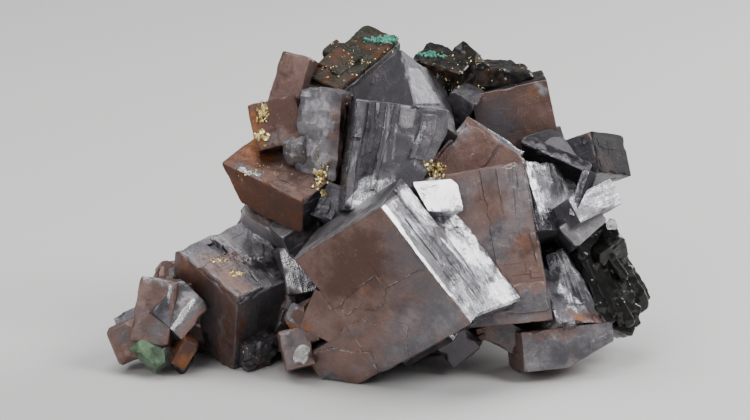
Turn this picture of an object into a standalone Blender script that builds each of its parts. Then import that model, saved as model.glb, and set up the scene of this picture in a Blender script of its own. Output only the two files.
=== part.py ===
# Galena specimen: one cluster of intergrown cubes, with small pieces of other minerals on it.
# The tables hold millimetres, and turns in degrees about X, then Y, then Z.
import math
import random

import bmesh
import bpy
from mathutils import Euler, Matrix, Vector

# Driving dimensions, in metres
MM = 0.001
MINERAL_GAP = 0.3 * MM
LEDGE_ROOT = 1.5 * MM
FAR_BELOW = 200 * MM
# The point of the tables that becomes the part's origin; what lies below it is cut away.
ORIGIN = (0.6, 9.7, 5)

# Galena crystals that show from the front: name, centre, size, turn
FRONT_CRYSTALS = [
    ("front cube", (3.5, -18.5, 32), (28, 15, 35), (16, -34, -30)),
    ("big right cube", (24, 2.5, 32), (28, 30, 39), (-16, -9, 5)),
    ("silver slab", (20, -15, 33), (11, 11, 25.5), (-38, -9, 34)),
    ("bright patch block", (12, -9.5, 47), (11.5, 12, 8), (-33, 2, 26)),
    ("crown cube", (22, 6.5, 48.5), (18, 18, 21), (-37, 33, -20)),
    ("silver right side", (39.5, 4.5, 42.5), (14, 23, 17.5), (-16, -30, -34)),
    ("inner ridge", (27, 6.5, 56), (15, 3, 10), (26, 29, -17)),
    ("outer ridge", (43, 8, 53), (17.5, 3.5, 6), (28, 20, -20)),
    ("striated crystal", (3, 1, 54.5), (22.5, 20.5, 26.5), (-18, 9, 6)),
    ("peak cube", (6.5, 8, 65), (16.5, 20, 16), (40, -40, -18)),
    ("top plate", (-6, 27.5, 71), (10.5, 25.5, 7), (22, 15, -33)),
    ("upper left cube", (-20, 19, 70), (7.5, 14, 13), (-20, 11, -16)),
    ("left knob", (-23.5, 12, 61), (12, 14, 11.5), (-20, -14, -3)),
    ("left shelf cube", (-23, 5, 48.5), (24.5, 15.5, 10), (19, 15, -34)),
    ("dissolved lump", (-13, 6.5, 60), (11, 10, 21.5), (-11, 1, -16)),
    ("under shelf cube", (-12, 2, 44), (10, 12, 9), (-24, 20, -8)),
    ("top right cube", (33.5, 23.5, 60.5), (19, 16, 17.5), (-4, -12, 2)),
    ("top right heel", (39.5, 20, 54.5), (10.5, 12, 6), (-15, -13, 14)),
    ("right saddle", (43.5, 14.5, 47.5), (10.5, 14, 14), (39, -16, 28)),
    ("right end cube", (53, 16.5, 51.5), (10.5, 14, 10.5), (-16, -24, -33)),
    ("thin blade", (48.5, -7.5, 49), (2, 6, 11.5), (-22, 11, -26)),
    ("bright end cube", (50, -5, 45.5), (13, 9, 6.5), (-31, -14, 33)),
    ("grey wedge", (48, -3, 39.5), (10.5, 10, 6.5), (-31, -34, 28)),
    ("grooved crystal", (42.5, 0, 21.5), (16, 23, 14), (45, 10, 33)),
    ("foot cube", (44, -6.5, 11), (22.5, 16, 9.5), (-15, -3, 12)),
    ("keel cube", (19, -5.5, 13), (9, 12, 10), (-3, -41, -4)),
    ("keel chip", (26, -4, 16), (6, 8, 4), (12, -20, 10)),
    ("far left cube", (-52.5, -4.5, 19), (9.5, 10, 15.5), (-17, 6, -14)),
    ("far left wedge", (-48.5, -5, 19.5), (11, 8, 10), (-24, -37, 41)),
    ("left tip upper", (-58.5, -1, 14.5), (7, 8, 7), (-22, -29, 0)),
    ("left tip lower", (-59.5, -5, 12), (8, 8, 9.5), (-8, -24, -8)),
    ("rust wedge", (-47, -8, 11), (4, 8, 7), (10, 30, 20)),
    ("small dark foot", (-47, -7, 7.5), (4, 6, 4), (5, 40, 0)),
    ("middle left cube", (-32.5, 7, 20), (25, 24.5, 22), (20, -11, 39)),
    ("slanted slab", (-27, 6.5, 38), (12.5, 6, 5), (-50, 24, -26)),
    ("light grey block", (-19.5, 3, 27), (9, 12, 12), (-23, -7, 16)),
    ("recess cube", (-19, -9, 19), (6, 8, 4.5), (-24, 30, -6)),
    ("small foot cube", (-19.5, -10.5, 11.5), (7, 10, 9.5), (-22, -11, 9)),
]

# The body of the specimen behind them, and the crystals of its back
BACK_CRYSTALS = [
    ("base block", (-3, 24, 13), (40, 36, 20), (4, -3, -4)),
    ("base middle", (4, 10, 22), (34, 26, 24), (-8, 10, 12)),
    ("recess backing", (-19, 6.5, 16), (14, 14, 16), (10, 14, 20)),
    ("centre block", (2, 20, 36), (54, 26, 32), (4, -6, 6)),
    ("upper block", (-4, 24, 57), (28, 18, 24), (6, 8, -10)),
    ("right block", (35, 17, 34), (30, 22, 30), (-5, -10, 8)),
    ("right shoulder", (22, 28, 54), (32, 18, 18), (8, 5, 12)),
    ("left block", (-38, 10, 18), (32, 18, 16), (5, -8, -6)),
    ("back cube", (6, 32, 42), (22, 18, 24), (32, 14, 20)),
    ("back left cube", (-20, 28, 33), (22, 18, 20), (-22, 30, -16)),
    ("back right cube", (32, 30, 30), (22, 18, 24), (24, -28, 30)),
    ("back top cube", (-6, 31, 59), (18, 14, 18), (-30, -18, 24)),
    ("back crown", (24, 32, 53), (16, 14, 16), (38, 22, -14)),
    ("back low cube", (2, 36, 18), (20, 14, 20), (-16, 24, 40)),
    ("back low left", (-30, 24, 14), (18, 16, 16), (28, -14, 12)),
    ("back low right", (28, 30, 14), (16, 16, 18), (12, 34, -22)),
    ("back far left", (-47, 9, 15), (14, 14, 13), (30, 20, 15)),
    ("back far right", (46, 22, 31), (15, 14, 15), (-26, 18, 32)),
]

# Steps on a crystal's side, as shares of its half size: crystal, side, first span, second span, rise in mm.
# The spans run along the crystal's other two axes, in the order X, Y, Z.
LEDGES = [
    ("front cube", "-x", (-0.97, 0.9), (-0.98, 0.24), 7),
    ("front cube", "-x", (-0.99, 0.85), (-0.97, -0.3), 15.5),
    ("front cube", "-y", (-0.97, 0.98), (0.05, 0.98), 0.8),
    ("front cube", "-y", (-0.96, -0.3), (-0.3, 0.3), 0.5),
    ("front cube", "-y", (-0.2, 0.97), (-0.96, -0.6), 0.4),
    ("big right cube", "-y", (0.2, 0.97), (-0.4, 0.98), 0.9),
    ("big right cube", "-y", (-0.1, 0.98), (-0.88, -0.5), 0.6),
    ("silver slab", "-y", (-0.9, 0.3), (-0.6, 0.9), 0.7),
    ("crown cube", "-y", (-0.9, 0.2), (-0.9, 0.9), 0.6),
    ("striated crystal", "-y", (-0.98, -0.78), (-0.97, 0.97), 0.9),
    ("striated crystal", "-y", (-0.35, -0.2), (-0.6, 0.97), 0.6),
    ("striated crystal", "-y", (0.4, 0.75), (0.05, 0.9), 0.7),
    ("grooved crystal", "-y", (-0.6, -0.2), (-0.95, 0.98), 0.9),
    ("grooved crystal", "-y", (0.2, 0.5), (-0.9, 0.9), 0.7),
    ("middle left cube", "+z", (-0.97, 0), (-0.97, 0.3), 0.9),
    ("middle left cube", "-y", (-0.9, 0.25), (-0.97, 0.1), 0.7),
    ("top right cube", "-y", (-0.96, 0.3), (-0.9, 0.9), 0.6),
    ("top right cube", "+z", (-0.9, 0.6), (-0.9, 0.8), 0.8),
    ("left shelf cube", "+z", (-0.4, 0.9), (-0.5, 0.9), 0.9),
    ("foot cube", "-y", (-0.9, 0.9), (0.1, 0.95), 0.7),
    ("far left cube", "-y", (-0.5, 0.9), (-0.95, 0.4), 0.6),
    ("light grey block", "-y", (-0.9, 0.2), (-0.5, 0.9), 0.7),
    ("back cube", "+y", (-0.9, 0.4), (-0.6, 0.9), 0.9),
    ("back right cube", "+y", (-0.5, 0.95), (-0.9, 0.3), 0.9),
    ("back left cube", "+y", (-0.95, 0.3), (-0.8, 0.9), 0.8),
    ("back top cube", "+z", (-0.9, 0.2), (-0.9, 0.9), 0.7),
]

# Broken corners: crystal, side, and a line on that side in mm, with what lies right of it cut away
CUTS = [
    ("big right cube", "-y", (-2.5, -17.6), (14.4, -19)),
    ("striated crystal", "-y", (8, -0.9), (11.8, 9.2)),
    ("left shelf cube", "-y", (-11.7, 3.7), (-6.5, -4.5)),
    ("foot cube", "-y", (-9, -8.5), (12, 0.5)),
    ("middle left cube", "+z", (4.1, -12.8), (12.7, 13.7)),
]

# Dark sphalerite grown on the galena, as blocks that run into each other: centre, size, turn
SPHALERITE = {
    "sphalerite_top_right": [
        ((16, 23, 72), (13, 12, 8), (10, 12, -20)),
        ((22, 25, 71), (10, 12, 8.5), (25, -38, 15)),
        ((29.5, 26, 69.2), (15, 14, 7), (-4, 7, 5)),
        ((35, 27.5, 68.7), (10, 12, 4), (0, 18, -8)),
        ((15, 21, 67), (9, 10, 8), (-15, 20, 30)),
        ((27, 32, 67), (18, 11, 9), (14, 6, 25)),
    ],
    "sphalerite_right_flank": [
        ((51, 3, 25), (11.5, 16, 22), (-19, -9, 37)),
        ((54, 5.5, 22), (15, 13.5, 17.5), (23, -17, -40)),
        ((54, 2, 33), (8, 10, 10), (20, -30, 30)),
        ((57.5, 2, 16), (9, 10, 8), (-20, 25, 10)),
        ((58.8, 7, 21.5), (7, 10, 14), (-10, -25, 30)),
    ],
    "sphalerite_top_plate": [
        ((-6, 25.5, 74.7), (10.3, 25.3, 1.8), (22, 15, -33)),
        ((-1.5, 31.2, 76.8), (7, 9, 2.4), (18, 12, -30)),
        ((-9.5, 22.8, 74.1), (7, 8, 2.2), (26, 18, -38)),
        ((-10, 27.5, 76), (5, 7, 2.4), (20, 17, -26)),
    ],
}

# Small grains sitting on the faces: centre, reach along X, Y, Z, largest grain, how many
GRAINS = {
    "chalcopyrite_left_upper": ((-27.5, 6.2, 65.5), (1.2, 0.6, 2.2), 2.2, 7),
    "chalcopyrite_left_lower": ((-27.7, 4.4, 60), (1.6, 0.6, 1), 2, 6),
    "chalcopyrite_shelf": ((-13.8, -1.5, 51.5), (2.2, 1.2, 3), 2, 9),
    "chalcopyrite_shelf_front": ((-31, 0.5, 52.4), (2.6, 1, 0.8), 1.8, 7),
    "chalcopyrite_centre": ((14, -2, 53.6), (2, 0.8, 1.8), 2.4, 7),
    "chalcopyrite_low_back": ((-38.9, -0.4, 30.7), (1.4, 0.8, 0.5), 1.8, 6),
    "chalcopyrite_low_front": ((-33.4, -4.7, 28.5), (1.8, 0.8, 0.5), 1.9, 7),
    "malachite_top_plate": ((1.8, 30.6, 78.5), (2.6, 1.6, 0.6), 2, 7),
    "malachite_top_right": ((12.7, 22.2, 76.6), (3, 1.6, 0.6), 2, 7),
}

# Single crystals of other minerals: centre, size, turn
SINGLES = {
    "green_crystal": ((-54.5, -10.5, 10), (7.5, 5, 6.5), (-39, -16, 22)),
    "quartz_front": ((-17.9, -15.6, 12.3), (2.6, 2.6, 4), (12, 30, 10)),
    "quartz_right": ((55.8, -2.8, 40.4), (2.4, 3, 2.6), (15, 30, 25)),
}

MATERIALS = {
    "galena": ((0.30, 0.26, 0.27), 0.35, 0.9),
    "sphalerite": ((0.05, 0.035, 0.03), 0.4, 0.1),
    "chalcopyrite": ((0.62, 0.47, 0.20), 0.35, 0.9),
    "malachite": ((0.10, 0.42, 0.32), 0.7, 0.0),
    "green": ((0.12, 0.24, 0.12), 0.45, 0.0),
    "quartz": ((0.85, 0.85, 0.83), 0.1, 0.0),
}

AXES = "xyz"
# How far from a piece, in mm, the crystals lie that can touch it
SPHALERITE_REACH = 32
GRAIN_REACH = 9


def clear_scene():
    for obj in list(bpy.data.objects):
        bpy.data.objects.remove(obj)


def make_materials():
    made = {}
    for name, (color, roughness, metallic) in MATERIALS.items():
        material = bpy.data.materials.new(name)
        material.use_nodes = True
        shader = material.node_tree.nodes["Principled BSDF"]
        shader.inputs["Base Color"].default_value = (*color, 1)
        shader.inputs["Roughness"].default_value = roughness
        shader.inputs["Metallic"].default_value = metallic
        made[name] = material
    return made


def placement(centre, turn):
    angles = Euler([math.radians(angle) for angle in turn], "XYZ")
    place = (Vector(centre) - Vector(ORIGIN)) * MM
    return Matrix.Translation(place) @ angles.to_matrix().to_4x4()


def add_block(mesh, place, low, high):
    middle = Matrix.Translation((low + high) / 2)
    stretch = Matrix.Diagonal((*(high - low), 1))
    bmesh.ops.create_cube(mesh, size=1, matrix=place @ middle @ stretch)


def add_crystal(mesh, centre, size, turn, margin=0.0):
    half = Vector(size) * MM / 2 + Vector((margin, margin, margin))
    add_block(mesh, placement(centre, turn), -half, half)


def on_side(size, side, place):
    # A point on a crystal's side from its two places in mm, and the direction out of that side.
    axis = AXES.index(side[1])
    outward = Vector()
    outward[axis] = 1 if side[0] == "+" else -1
    point = Vector(place[:axis] + (0,) + place[axis:]) * MM
    point[axis] = outward[axis] * size[axis] * MM / 2
    return point, outward


def break_corner(block, crystal, side, start, end, margin):
    name, centre, size, turn = crystal
    first, outward = on_side(size, side, start)
    second = on_side(size, side, end)[0]
    away = (second - first).cross(outward).normalized()
    place = placement(centre, turn)
    parts = block.verts[:] + block.edges[:] + block.faces[:]
    point = place @ (first + away * margin)
    normal = place.to_3x3() @ away
    cut = bmesh.ops.bisect_plane(block, geom=parts, plane_co=point, plane_no=normal, clear_outer=True)
    rim = [item for item in cut["geom_cut"] if isinstance(item, bmesh.types.BMEdge)]
    bmesh.ops.holes_fill(block, edges=rim)
    bmesh.ops.recalc_face_normals(block, faces=block.faces)


def add_whole_or_broken(mesh, crystal, margin):
    block = bmesh.new()
    add_crystal(block, *crystal[1:], margin)
    for name, side, start, end in CUTS:
        if name == crystal[0]:
            break_corner(block, crystal, side, start, end, margin)
    data = bpy.data.meshes.new("block")
    block.to_mesh(data)
    block.free()
    mesh.from_mesh(data)
    bpy.data.meshes.remove(data)


def add_ledge(mesh, crystal, side, first, second, rise, margin=0.0):
    name, centre, size, turn = crystal
    half = Vector(size) * MM / 2
    axis = AXES.index(side[1])
    spans = iter((first, second))
    low = Vector()
    high = Vector()
    for n in range(3):
        if n == axis:
            low[n] = half[n] - LEDGE_ROOT
            high[n] = half[n] + rise * MM + margin
            if side[0] == "-":
                low[n], high[n] = -high[n], -low[n]
        else:
            start, end = next(spans)
            low[n] = start * half[n] - margin
            high[n] = end * half[n] + margin
    add_block(mesh, placement(centre, turn), low, high)


def meets(centre, size, middle, reach_mm):
    apart = (Vector(centre) - Vector(middle)).length
    return apart < Vector(size).length / 2 + reach_mm


def add_cluster(mesh, margin=0.0, middle=(0, 0, 0), reach_mm=1000):
    crystals = {crystal[0]: crystal for crystal in FRONT_CRYSTALS + BACK_CRYSTALS}
    near = {name for name, centre, size, turn in crystals.values() if meets(centre, size, middle, reach_mm)}
    for name in crystals:
        if name in near:
            add_whole_or_broken(mesh, crystals[name], margin)
    for name, side, first, second, rise in LEDGES:
        if name in near:
            add_ledge(mesh, crystals[name], side, first, second, rise, margin)


def mesh_object(name, mesh):
    data = bpy.data.meshes.new(name)
    mesh.to_mesh(data)
    mesh.free()
    obj = bpy.data.objects.new(name, data)
    bpy.context.scene.collection.objects.link(obj)
    return obj


def cutter_object(name, mesh):
    obj = mesh_object(name, mesh)
    obj.hide_render = True
    obj.display_type = "WIRE"
    return obj


def add_cut(obj, cutter):
    # Shapes that overlap inside either mesh count as one solid.
    cut = obj.modifiers.new("cut by " + cutter.name, "BOOLEAN")
    cut.operation = "DIFFERENCE"
    cut.solver = "EXACT"
    cut.use_self = True
    cut.object = cutter


def bodies(mesh):
    waiting = set(mesh.faces)
    found = []
    while waiting:
        body = [waiting.pop()]
        for face in body:
            for edge in face.edges:
                fresh = [near for near in edge.link_faces if near in waiting]
                waiting.difference_update(fresh)
                body.extend(fresh)
        found.append(body)
    return found


def reach(body):
    points = [corner.co for face in body for corner in face.verts]
    spans = [max(p[n] for p in points) - min(p[n] for p in points) for n in range(3)]
    return Vector(spans).length


def keep_largest_body(obj):
    # Drops sealed hollows between crystals and crumbs that a cut leaves loose.
    graph = bpy.context.evaluated_depsgraph_get()
    mesh = bmesh.new()
    mesh.from_mesh(obj.evaluated_get(graph).to_mesh())
    obj.modifiers.clear()
    for body in sorted(bodies(mesh), key=reach)[:-1]:
        bmesh.ops.delete(mesh, geom=body, context="FACES")
    mesh.to_mesh(obj.data)
    mesh.free()


def finish_node(obj, cutter, material):
    add_cut(obj, cutter)
    keep_largest_body(obj)
    obj.data.materials.append(material)


def make_ground_cutter():
    mesh = bmesh.new()
    side = FAR_BELOW
    add_block(mesh, Matrix(), Vector((-side, -side, -side)), Vector((side, side, 0)))
    return cutter_object("ground_cutter", mesh)


def make_grown_cutter(name, middle, reach_mm, with_sphalerite):
    # What is already there, grown by the gap, so that what sits on it doesn't run into it.
    mesh = bmesh.new()
    add_cluster(mesh, MINERAL_GAP, middle, reach_mm)
    blocks = [block for group in SPHALERITE.values() for block in group if with_sphalerite]
    for centre, size, turn in blocks:
        if meets(centre, size, middle, reach_mm):
            add_crystal(mesh, centre, size, turn, MINERAL_GAP)
    return cutter_object("cutter_of_" + name, mesh)


def make_galena(materials):
    mesh = bmesh.new()
    add_cluster(mesh)
    galena = mesh_object("galena_cluster", mesh)
    finish_node(galena, make_ground_cutter(), materials["galena"])


def make_sphalerite(materials):
    for name, blocks in SPHALERITE.items():
        mesh = bmesh.new()
        for centre, size, turn in blocks:
            add_crystal(mesh, centre, size, turn)
        cutter = make_grown_cutter(name, blocks[0][0], SPHALERITE_REACH, False)
        finish_node(mesh_object(name, mesh), cutter, materials["sphalerite"])


def make_grains(materials):
    for name, (centre, spread, largest, count) in GRAINS.items():
        chance = random.Random(name)
        mesh = bmesh.new()
        add_crystal(mesh, centre, Vector(spread) * 1.3, (0, 0, 0))
        for n in range(count):
            offset = Vector([span * chance.uniform(-1, 1) for span in spread])
            side = largest * chance.uniform(0.6, 1)
            turn = [chance.uniform(0, 90) for axis in AXES]
            add_crystal(mesh, Vector(centre) + offset, (side, side, side), turn)
        cutter = make_grown_cutter(name, centre, GRAIN_REACH, True)
        finish_node(mesh_object(name, mesh), cutter, materials[name.split("_")[0]])


def make_singles(materials):
    for name, (centre, size, turn) in SINGLES.items():
        mesh = bmesh.new()
        add_crystal(mesh, centre, size, turn)
        cutter = make_grown_cutter(name, centre, GRAIN_REACH, True)
        finish_node(mesh_object(name, mesh), cutter, materials[name.split("_")[0]])


clear_scene()
made = make_materials()
make_galena(made)
make_sphalerite(made)
make_grains(made)
make_singles(made)
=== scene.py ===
import math
import random

import bmesh
import bpy
import numpy as np
from mathutils import Euler, Matrix, Vector
from mathutils.bvhtree import BVHTree


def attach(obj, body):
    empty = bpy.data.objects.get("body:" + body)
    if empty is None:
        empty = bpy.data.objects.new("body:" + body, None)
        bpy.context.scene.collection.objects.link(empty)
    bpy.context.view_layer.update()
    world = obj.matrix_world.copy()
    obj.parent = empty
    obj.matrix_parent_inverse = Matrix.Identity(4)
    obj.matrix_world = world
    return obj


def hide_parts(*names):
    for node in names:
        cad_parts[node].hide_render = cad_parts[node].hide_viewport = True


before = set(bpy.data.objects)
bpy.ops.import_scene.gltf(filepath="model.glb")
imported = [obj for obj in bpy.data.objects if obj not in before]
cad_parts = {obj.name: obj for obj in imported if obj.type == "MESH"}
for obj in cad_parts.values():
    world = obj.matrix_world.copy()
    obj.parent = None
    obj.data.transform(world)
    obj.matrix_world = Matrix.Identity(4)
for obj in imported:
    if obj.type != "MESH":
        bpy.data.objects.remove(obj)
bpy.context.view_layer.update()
bpy.ops.object.select_all(action="DESELECT")

mm = 0.001
axes = "xyz"
sixSides = [sign + axis for axis in axes for sign in "-+"]
tableOrigin = Vector((0.6, 9.7, 5))  # where the part's origin is in the tables below, in mm

# How a side of a crystal looks: film of rust, bright silver, shade from black to pale, orange stain
tones = {
    "film": (0.95, 0.0, 0.50, 0.0),
    "dark film": (1.0, 0.0, 0.24, 0.16),
    "brown": (0.70, 0.0, 0.42, 0.0),
    "pink": (0.75, 0.0, 0.68, 0.0),
    "lead": (0.12, 0.0, 0.48, 0.0),
    "grey": (0.12, 0.0, 0.64, 0.0),
    "pale": (0.18, 0.0, 0.82, 0.0),
    # A painted highlight: white, bright under any light, in place of the lamps' reflection on cleavage
    "painted highlight": (0.0, 1.3, 1.0, 0.0),
    "silver": (0.0, 0.95, 0.62, 0.0),
    "dull silver": (0.0, 0.66, 0.52, 0.0),
    "dusk": (0.0, 0.0, 0.26, 0.0),
    "crust": (0.25, 0.0, 0.05, 0.0),
    "night": (0.45, 0.0, 0.14, 0.0),
    "coal": (0.0, 0.0, -0.1, 0.0),
    "dark rust": (0.85, 0.0, 0.0, 0.40),
    "orange": (0.85, 0.0, 0.45, 0.85),
    "rust": (0.95, 0.0, 0.30, 0.50),
}


# Shader sums

class Wire:
    # One output of a node, with the sums that the patterns are written in.
    def __init__(self, look, socket):
        self.look = look
        self.socket = socket

    def sum(self, operation, first, second):
        return self.look.node("Math", {"operation": operation}, {0: first, 1: second})

    def __add__(self, other):
        return self.sum("ADD", self, other)

    def __radd__(self, other):
        return self.sum("ADD", other, self)

    def __sub__(self, other):
        return self.sum("SUBTRACT", self, other)

    def __rsub__(self, other):
        return self.sum("SUBTRACT", other, self)

    def __mul__(self, other):
        return self.sum("MULTIPLY", self, other)

    def __rmul__(self, other):
        return self.sum("MULTIPLY", other, self)

    def step(self, low, high, bottom=0.0, top=1.0):
        # Smooth rise from bottom to top between the two values.
        sockets = {"Value": self, "From Min": low, "From Max": high, "To Min": bottom, "To Max": top}
        return self.look.node("MapRange", {"interpolation_type": "SMOOTHSTEP"}, sockets)


class Look:
    # A material, and the one way in which its nodes are added.
    def __init__(self, name, **fixed):
        self.material = bpy.data.materials.new(name)
        self.material.use_nodes = True
        self.tree = self.material.node_tree
        self.shader = self.tree.nodes["Principled BSDF"]
        for socket, value in fixed.items():
            self.shader.inputs[socket.replace("_", " ")].default_value = value

    def node(self, kind, settings=None, sockets=None, output=0):
        made = self.tree.nodes.new("ShaderNode" + kind)
        for name, value in (settings or {}).items():
            setattr(made, name, value)
        for name, value in (sockets or {}).items():
            self.feed(made.inputs[name], value)
        return Wire(self, made.outputs[output])

    def feed(self, socket, value):
        if isinstance(value, Wire):
            self.tree.links.new(value.socket, socket)
        else:
            socket.default_value = value

    def mix(self, share, first, second):
        sockets = {0: share, 6: rgba(first), 7: rgba(second)}
        return self.node("Mix", {"data_type": "RGBA"}, sockets, 2)

    def attribute(self, name, output=1):
        return self.node("Attribute", {"attribute_name": name}, output=output)

    def channels(self, name):
        # Red, green and blue of a colour attribute.
        split = self.node("SeparateColor", None, {0: self.attribute(name, 0)})
        return [Wire(self, output) for output in split.socket.node.outputs]

    def noise(self, where, scale, detail=4.0, roughness=0.55):
        sockets = {"Vector": where, "Scale": scale, "Detail": detail, "Roughness": roughness}
        return self.node("TexNoise", None, sockets)

    def cells(self, where, scale, settings=None, output="Distance"):
        return self.node("TexVoronoi", settings, {"Vector": where, "Scale": scale}, output)

    def warp(self, where, scale, reach):
        # The places shifted by a noise, so that cells read there lose their straight sides.
        shift = self.node("TexNoise", None, {"Vector": where, "Scale": scale, "Detail": 3.0}, 1)
        sockets = {0: shift, 1: (reach, reach, reach), 2: where}
        return self.node("VectorMath", {"operation": "MULTIPLY_ADD"}, sockets)

    def finish(self, color, roughness, bumps=(), metallic=None):
        # bumps: heights in mm, from the coarsest to the finest
        self.feed(self.shader.inputs["Base Color"], color)
        self.feed(self.shader.inputs["Roughness"], roughness)
        if metallic is not None:
            self.feed(self.shader.inputs["Metallic"], metallic)
        normal = None
        for height in bumps:
            sockets = {"Height": height, "Distance": mm}
            if normal is not None:
                sockets["Normal"] = normal
            normal = self.node("Bump", None, sockets)
        if normal is not None:
            self.feed(self.shader.inputs["Normal"], normal)
        return self.material


def rgba(color):
    return color if isinstance(color, Wire) else (*color, 1.0)


# Galena: lead grey, with a film of rust, bright cleavage and pale worn edges
galenaLook = {
    # black: the darkest lead grey, and also the painted shade below the steps
    "black": (0.018, 0.016, 0.018),
    "lead": (0.122, 0.116, 0.127),
    "pale": (0.39, 0.37, 0.39),
    "filmDark": (0.085, 0.040, 0.030),
    "filmLight": (0.245, 0.155, 0.132),
    "orangeDark": (0.16, 0.050, 0.012),
    "orangeLight": (0.42, 0.165, 0.045),
    # Dark and light of the streaked silver cleavage: real striations, their dark and light partly a
    # painted reflection
    "silverDark": (0.050, 0.048, 0.054),
    "silverLight": (0.41, 0.41, 0.44),
    # painted highlight: the white painted in where bright cleavage reflects the lamps
    "painted highlight": (0.95, 0.95, 0.97),
    # The pale that worn edges, cracks and dust turn to; along edges and steps it is also a painted
    # highlight
    "worn": (0.42, 0.38, 0.38),
}


# Scale per mm, detail and roughness of the noises that all the galena shares
galenaNoises = {
    "clouds": (0.10, 3.0),
    "mottle": (0.42, 5.0, 0.62),
    "fine": (2.6, 3.0, 0.6),
    "grain": (7.0, 2.0, 0.6),
    "veil": (0.20, 4.0, 0.6),
}


def makeGalenaLook():
    c = galenaLook
    look = Look("galena")
    place = look.attribute("place")
    streak = look.attribute("streak")
    rust, silver, shade = look.channels("tone")
    orange = look.attribute("tone", 3)
    edge = look.attribute("edge", 2)
    stepShading = look.attribute("stepShading", 2)

    clouds, mottle, fine, grain, veil = [look.noise(place, *noise) for noise in galenaNoises.values()]
    lines = look.noise(streak, 1.0, 4.0, 0.6) * 0.6 + look.noise(streak, 3.2, 3.0, 0.6) * 0.4
    growth = look.cells(place, 0.13, {"distance": "CHEBYCHEV"})
    terraces = look.node("Math", {"operation": "FLOOR"}, {0: growth * 7.0})
    dust = (1.0 - look.cells(place, 0.9).step(0.06, 0.13)) * mottle.step(0.46, 0.56)
    seams = look.cells(look.warp(place, 0.5, 3.0), 0.22, {"feature": "DISTANCE_TO_EDGE"})
    crack = (1.0 - seams.step(0.0, 0.022)) * veil.step(0.46, 0.56)

    # Where each finish shows
    rustSum = rust + (clouds - 0.5) * 0.6 + (veil - 0.5) * 0.5 + (mottle - 0.5) * 0.25
    rustMask = rustSum.step(0.1, 0.9)
    silverSum = silver + (mottle - 0.5) * 0.8 + (veil - 0.5) * 0.6 + (lines - 0.5) * 0.5
    silverMask = silverSum.step(0.36, 0.72)
    orangeMask = (orange + (mottle - 0.5) * 0.9 + (veil - 0.5) * 0.6).step(0.25, 0.95)
    # Pale worn edges, partly a painted highlight along the crystal edges
    wornEdgeAndHighlight = (1.0 - edge.step(0.02, 0.20)) * mottle.step(0.46, 0.60)
    value = shade + (veil - 0.5) * 0.45 + (mottle - 0.5) * 0.30
    value = value + (fine - 0.5) * 0.24 + (grain - 0.5) * 0.20
    # Streaks of the bright cleavage, partly a painted reflection; high shade takes them to the painted
    # highlight
    paintedGleam = lines * 0.6 + mottle * 0.3 + veil * 0.4 - 0.15 + (shade - 0.6) * 0.9

    grey = look.mix(value.step(0.0, 0.5), c["black"], c["lead"])
    grey = look.mix(value.step(0.5, 1.0), grey, c["pale"])
    film = look.mix(value.step(0.2, 0.85), c["filmDark"], c["filmLight"])
    stain = look.mix(value.step(0.2, 0.8), c["orangeDark"], c["orangeLight"])
    bright = look.mix(paintedGleam.step(0.34, 0.54), c["silverDark"], c["silverLight"])
    # Painted highlight: white where the shade is high
    bright = look.mix(paintedGleam.step(0.50, 0.66), bright, c["painted highlight"])
    color = look.mix(rustMask, grey, film)
    color = look.mix(orangeMask, color, stain)
    color = look.mix(silverMask, color, bright)

    # Painted shade below the steps, painted highlight above them, pale worn edges that are partly a
    # painted highlight, cracks and dust
    color = look.mix(stepShading.step(-0.15, -0.9) * mottle.step(0.36, 0.46) * 0.75, color, c["black"])
    # Painted highlight on the upper side of the steps
    stepHighlight = stepShading.step(0.25, 0.95) * mottle.step(0.42, 0.54)
    paleWearAndHighlight = wornEdgeAndHighlight * 0.45 + stepHighlight * 0.8 + crack * fine.step(0.40, 0.60) * 0.45 + dust * 0.7
    color = look.mix(paleWearAndHighlight.step(0.0, 1.0) * 0.7, color, c["worn"])

    # Where the shade is high, a painted highlight: less rough and less metallic, so its white shows under
    # any light
    rough = 0.38 - silverMask * 0.13 - shade.step(0.8, 1.0) * 0.09
    rough = rough + (1.0 - shade).step(0.62, 0.95) * 0.26
    rough = rough + (fine - 0.5) * 0.22 + (veil - 0.5) * 0.22 + (grain - 0.5) * 0.16
    metal = 0.72 - rustMask * 0.30 + silverMask * 0.28 - shade.step(0.8, 1.0) * 0.25
    heights = [
        mottle * 0.16 + terraces * 0.03 - crack * 0.05,
        lines * (silverMask * 0.22 + 0.03),
        fine * 0.07 + grain * 0.03,
    ]
    return look.finish(color, rough, heights, metal)


# Other minerals
mineralColors = {
    "sphaleriteDark": (0.003, 0.003, 0.003),
    "sphaleriteLight": (0.014, 0.013, 0.011),
    "gritDark": (0.008, 0.008, 0.006),
    "gritLight": (0.060, 0.054, 0.040),
    "gritRed": (0.085, 0.034, 0.016),
    "brassSpot": (0.85, 0.74, 0.42),
    "brassDark": (0.36, 0.26, 0.08),
    "brassLight": (0.96, 0.82, 0.44),
    "malachiteDark": (0.02, 0.12, 0.09),
    "malachiteLight": (0.13, 0.45, 0.33),
    "greenDark": (0.022, 0.042, 0.022),
    "greenLight": (0.10, 0.18, 0.095),
    "greenFlecks": (0.34, 0.44, 0.32),
    "quartzMilky": (0.90, 0.90, 0.88),
    "quartzClear": (1.0, 1.0, 1.0),
}


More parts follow.
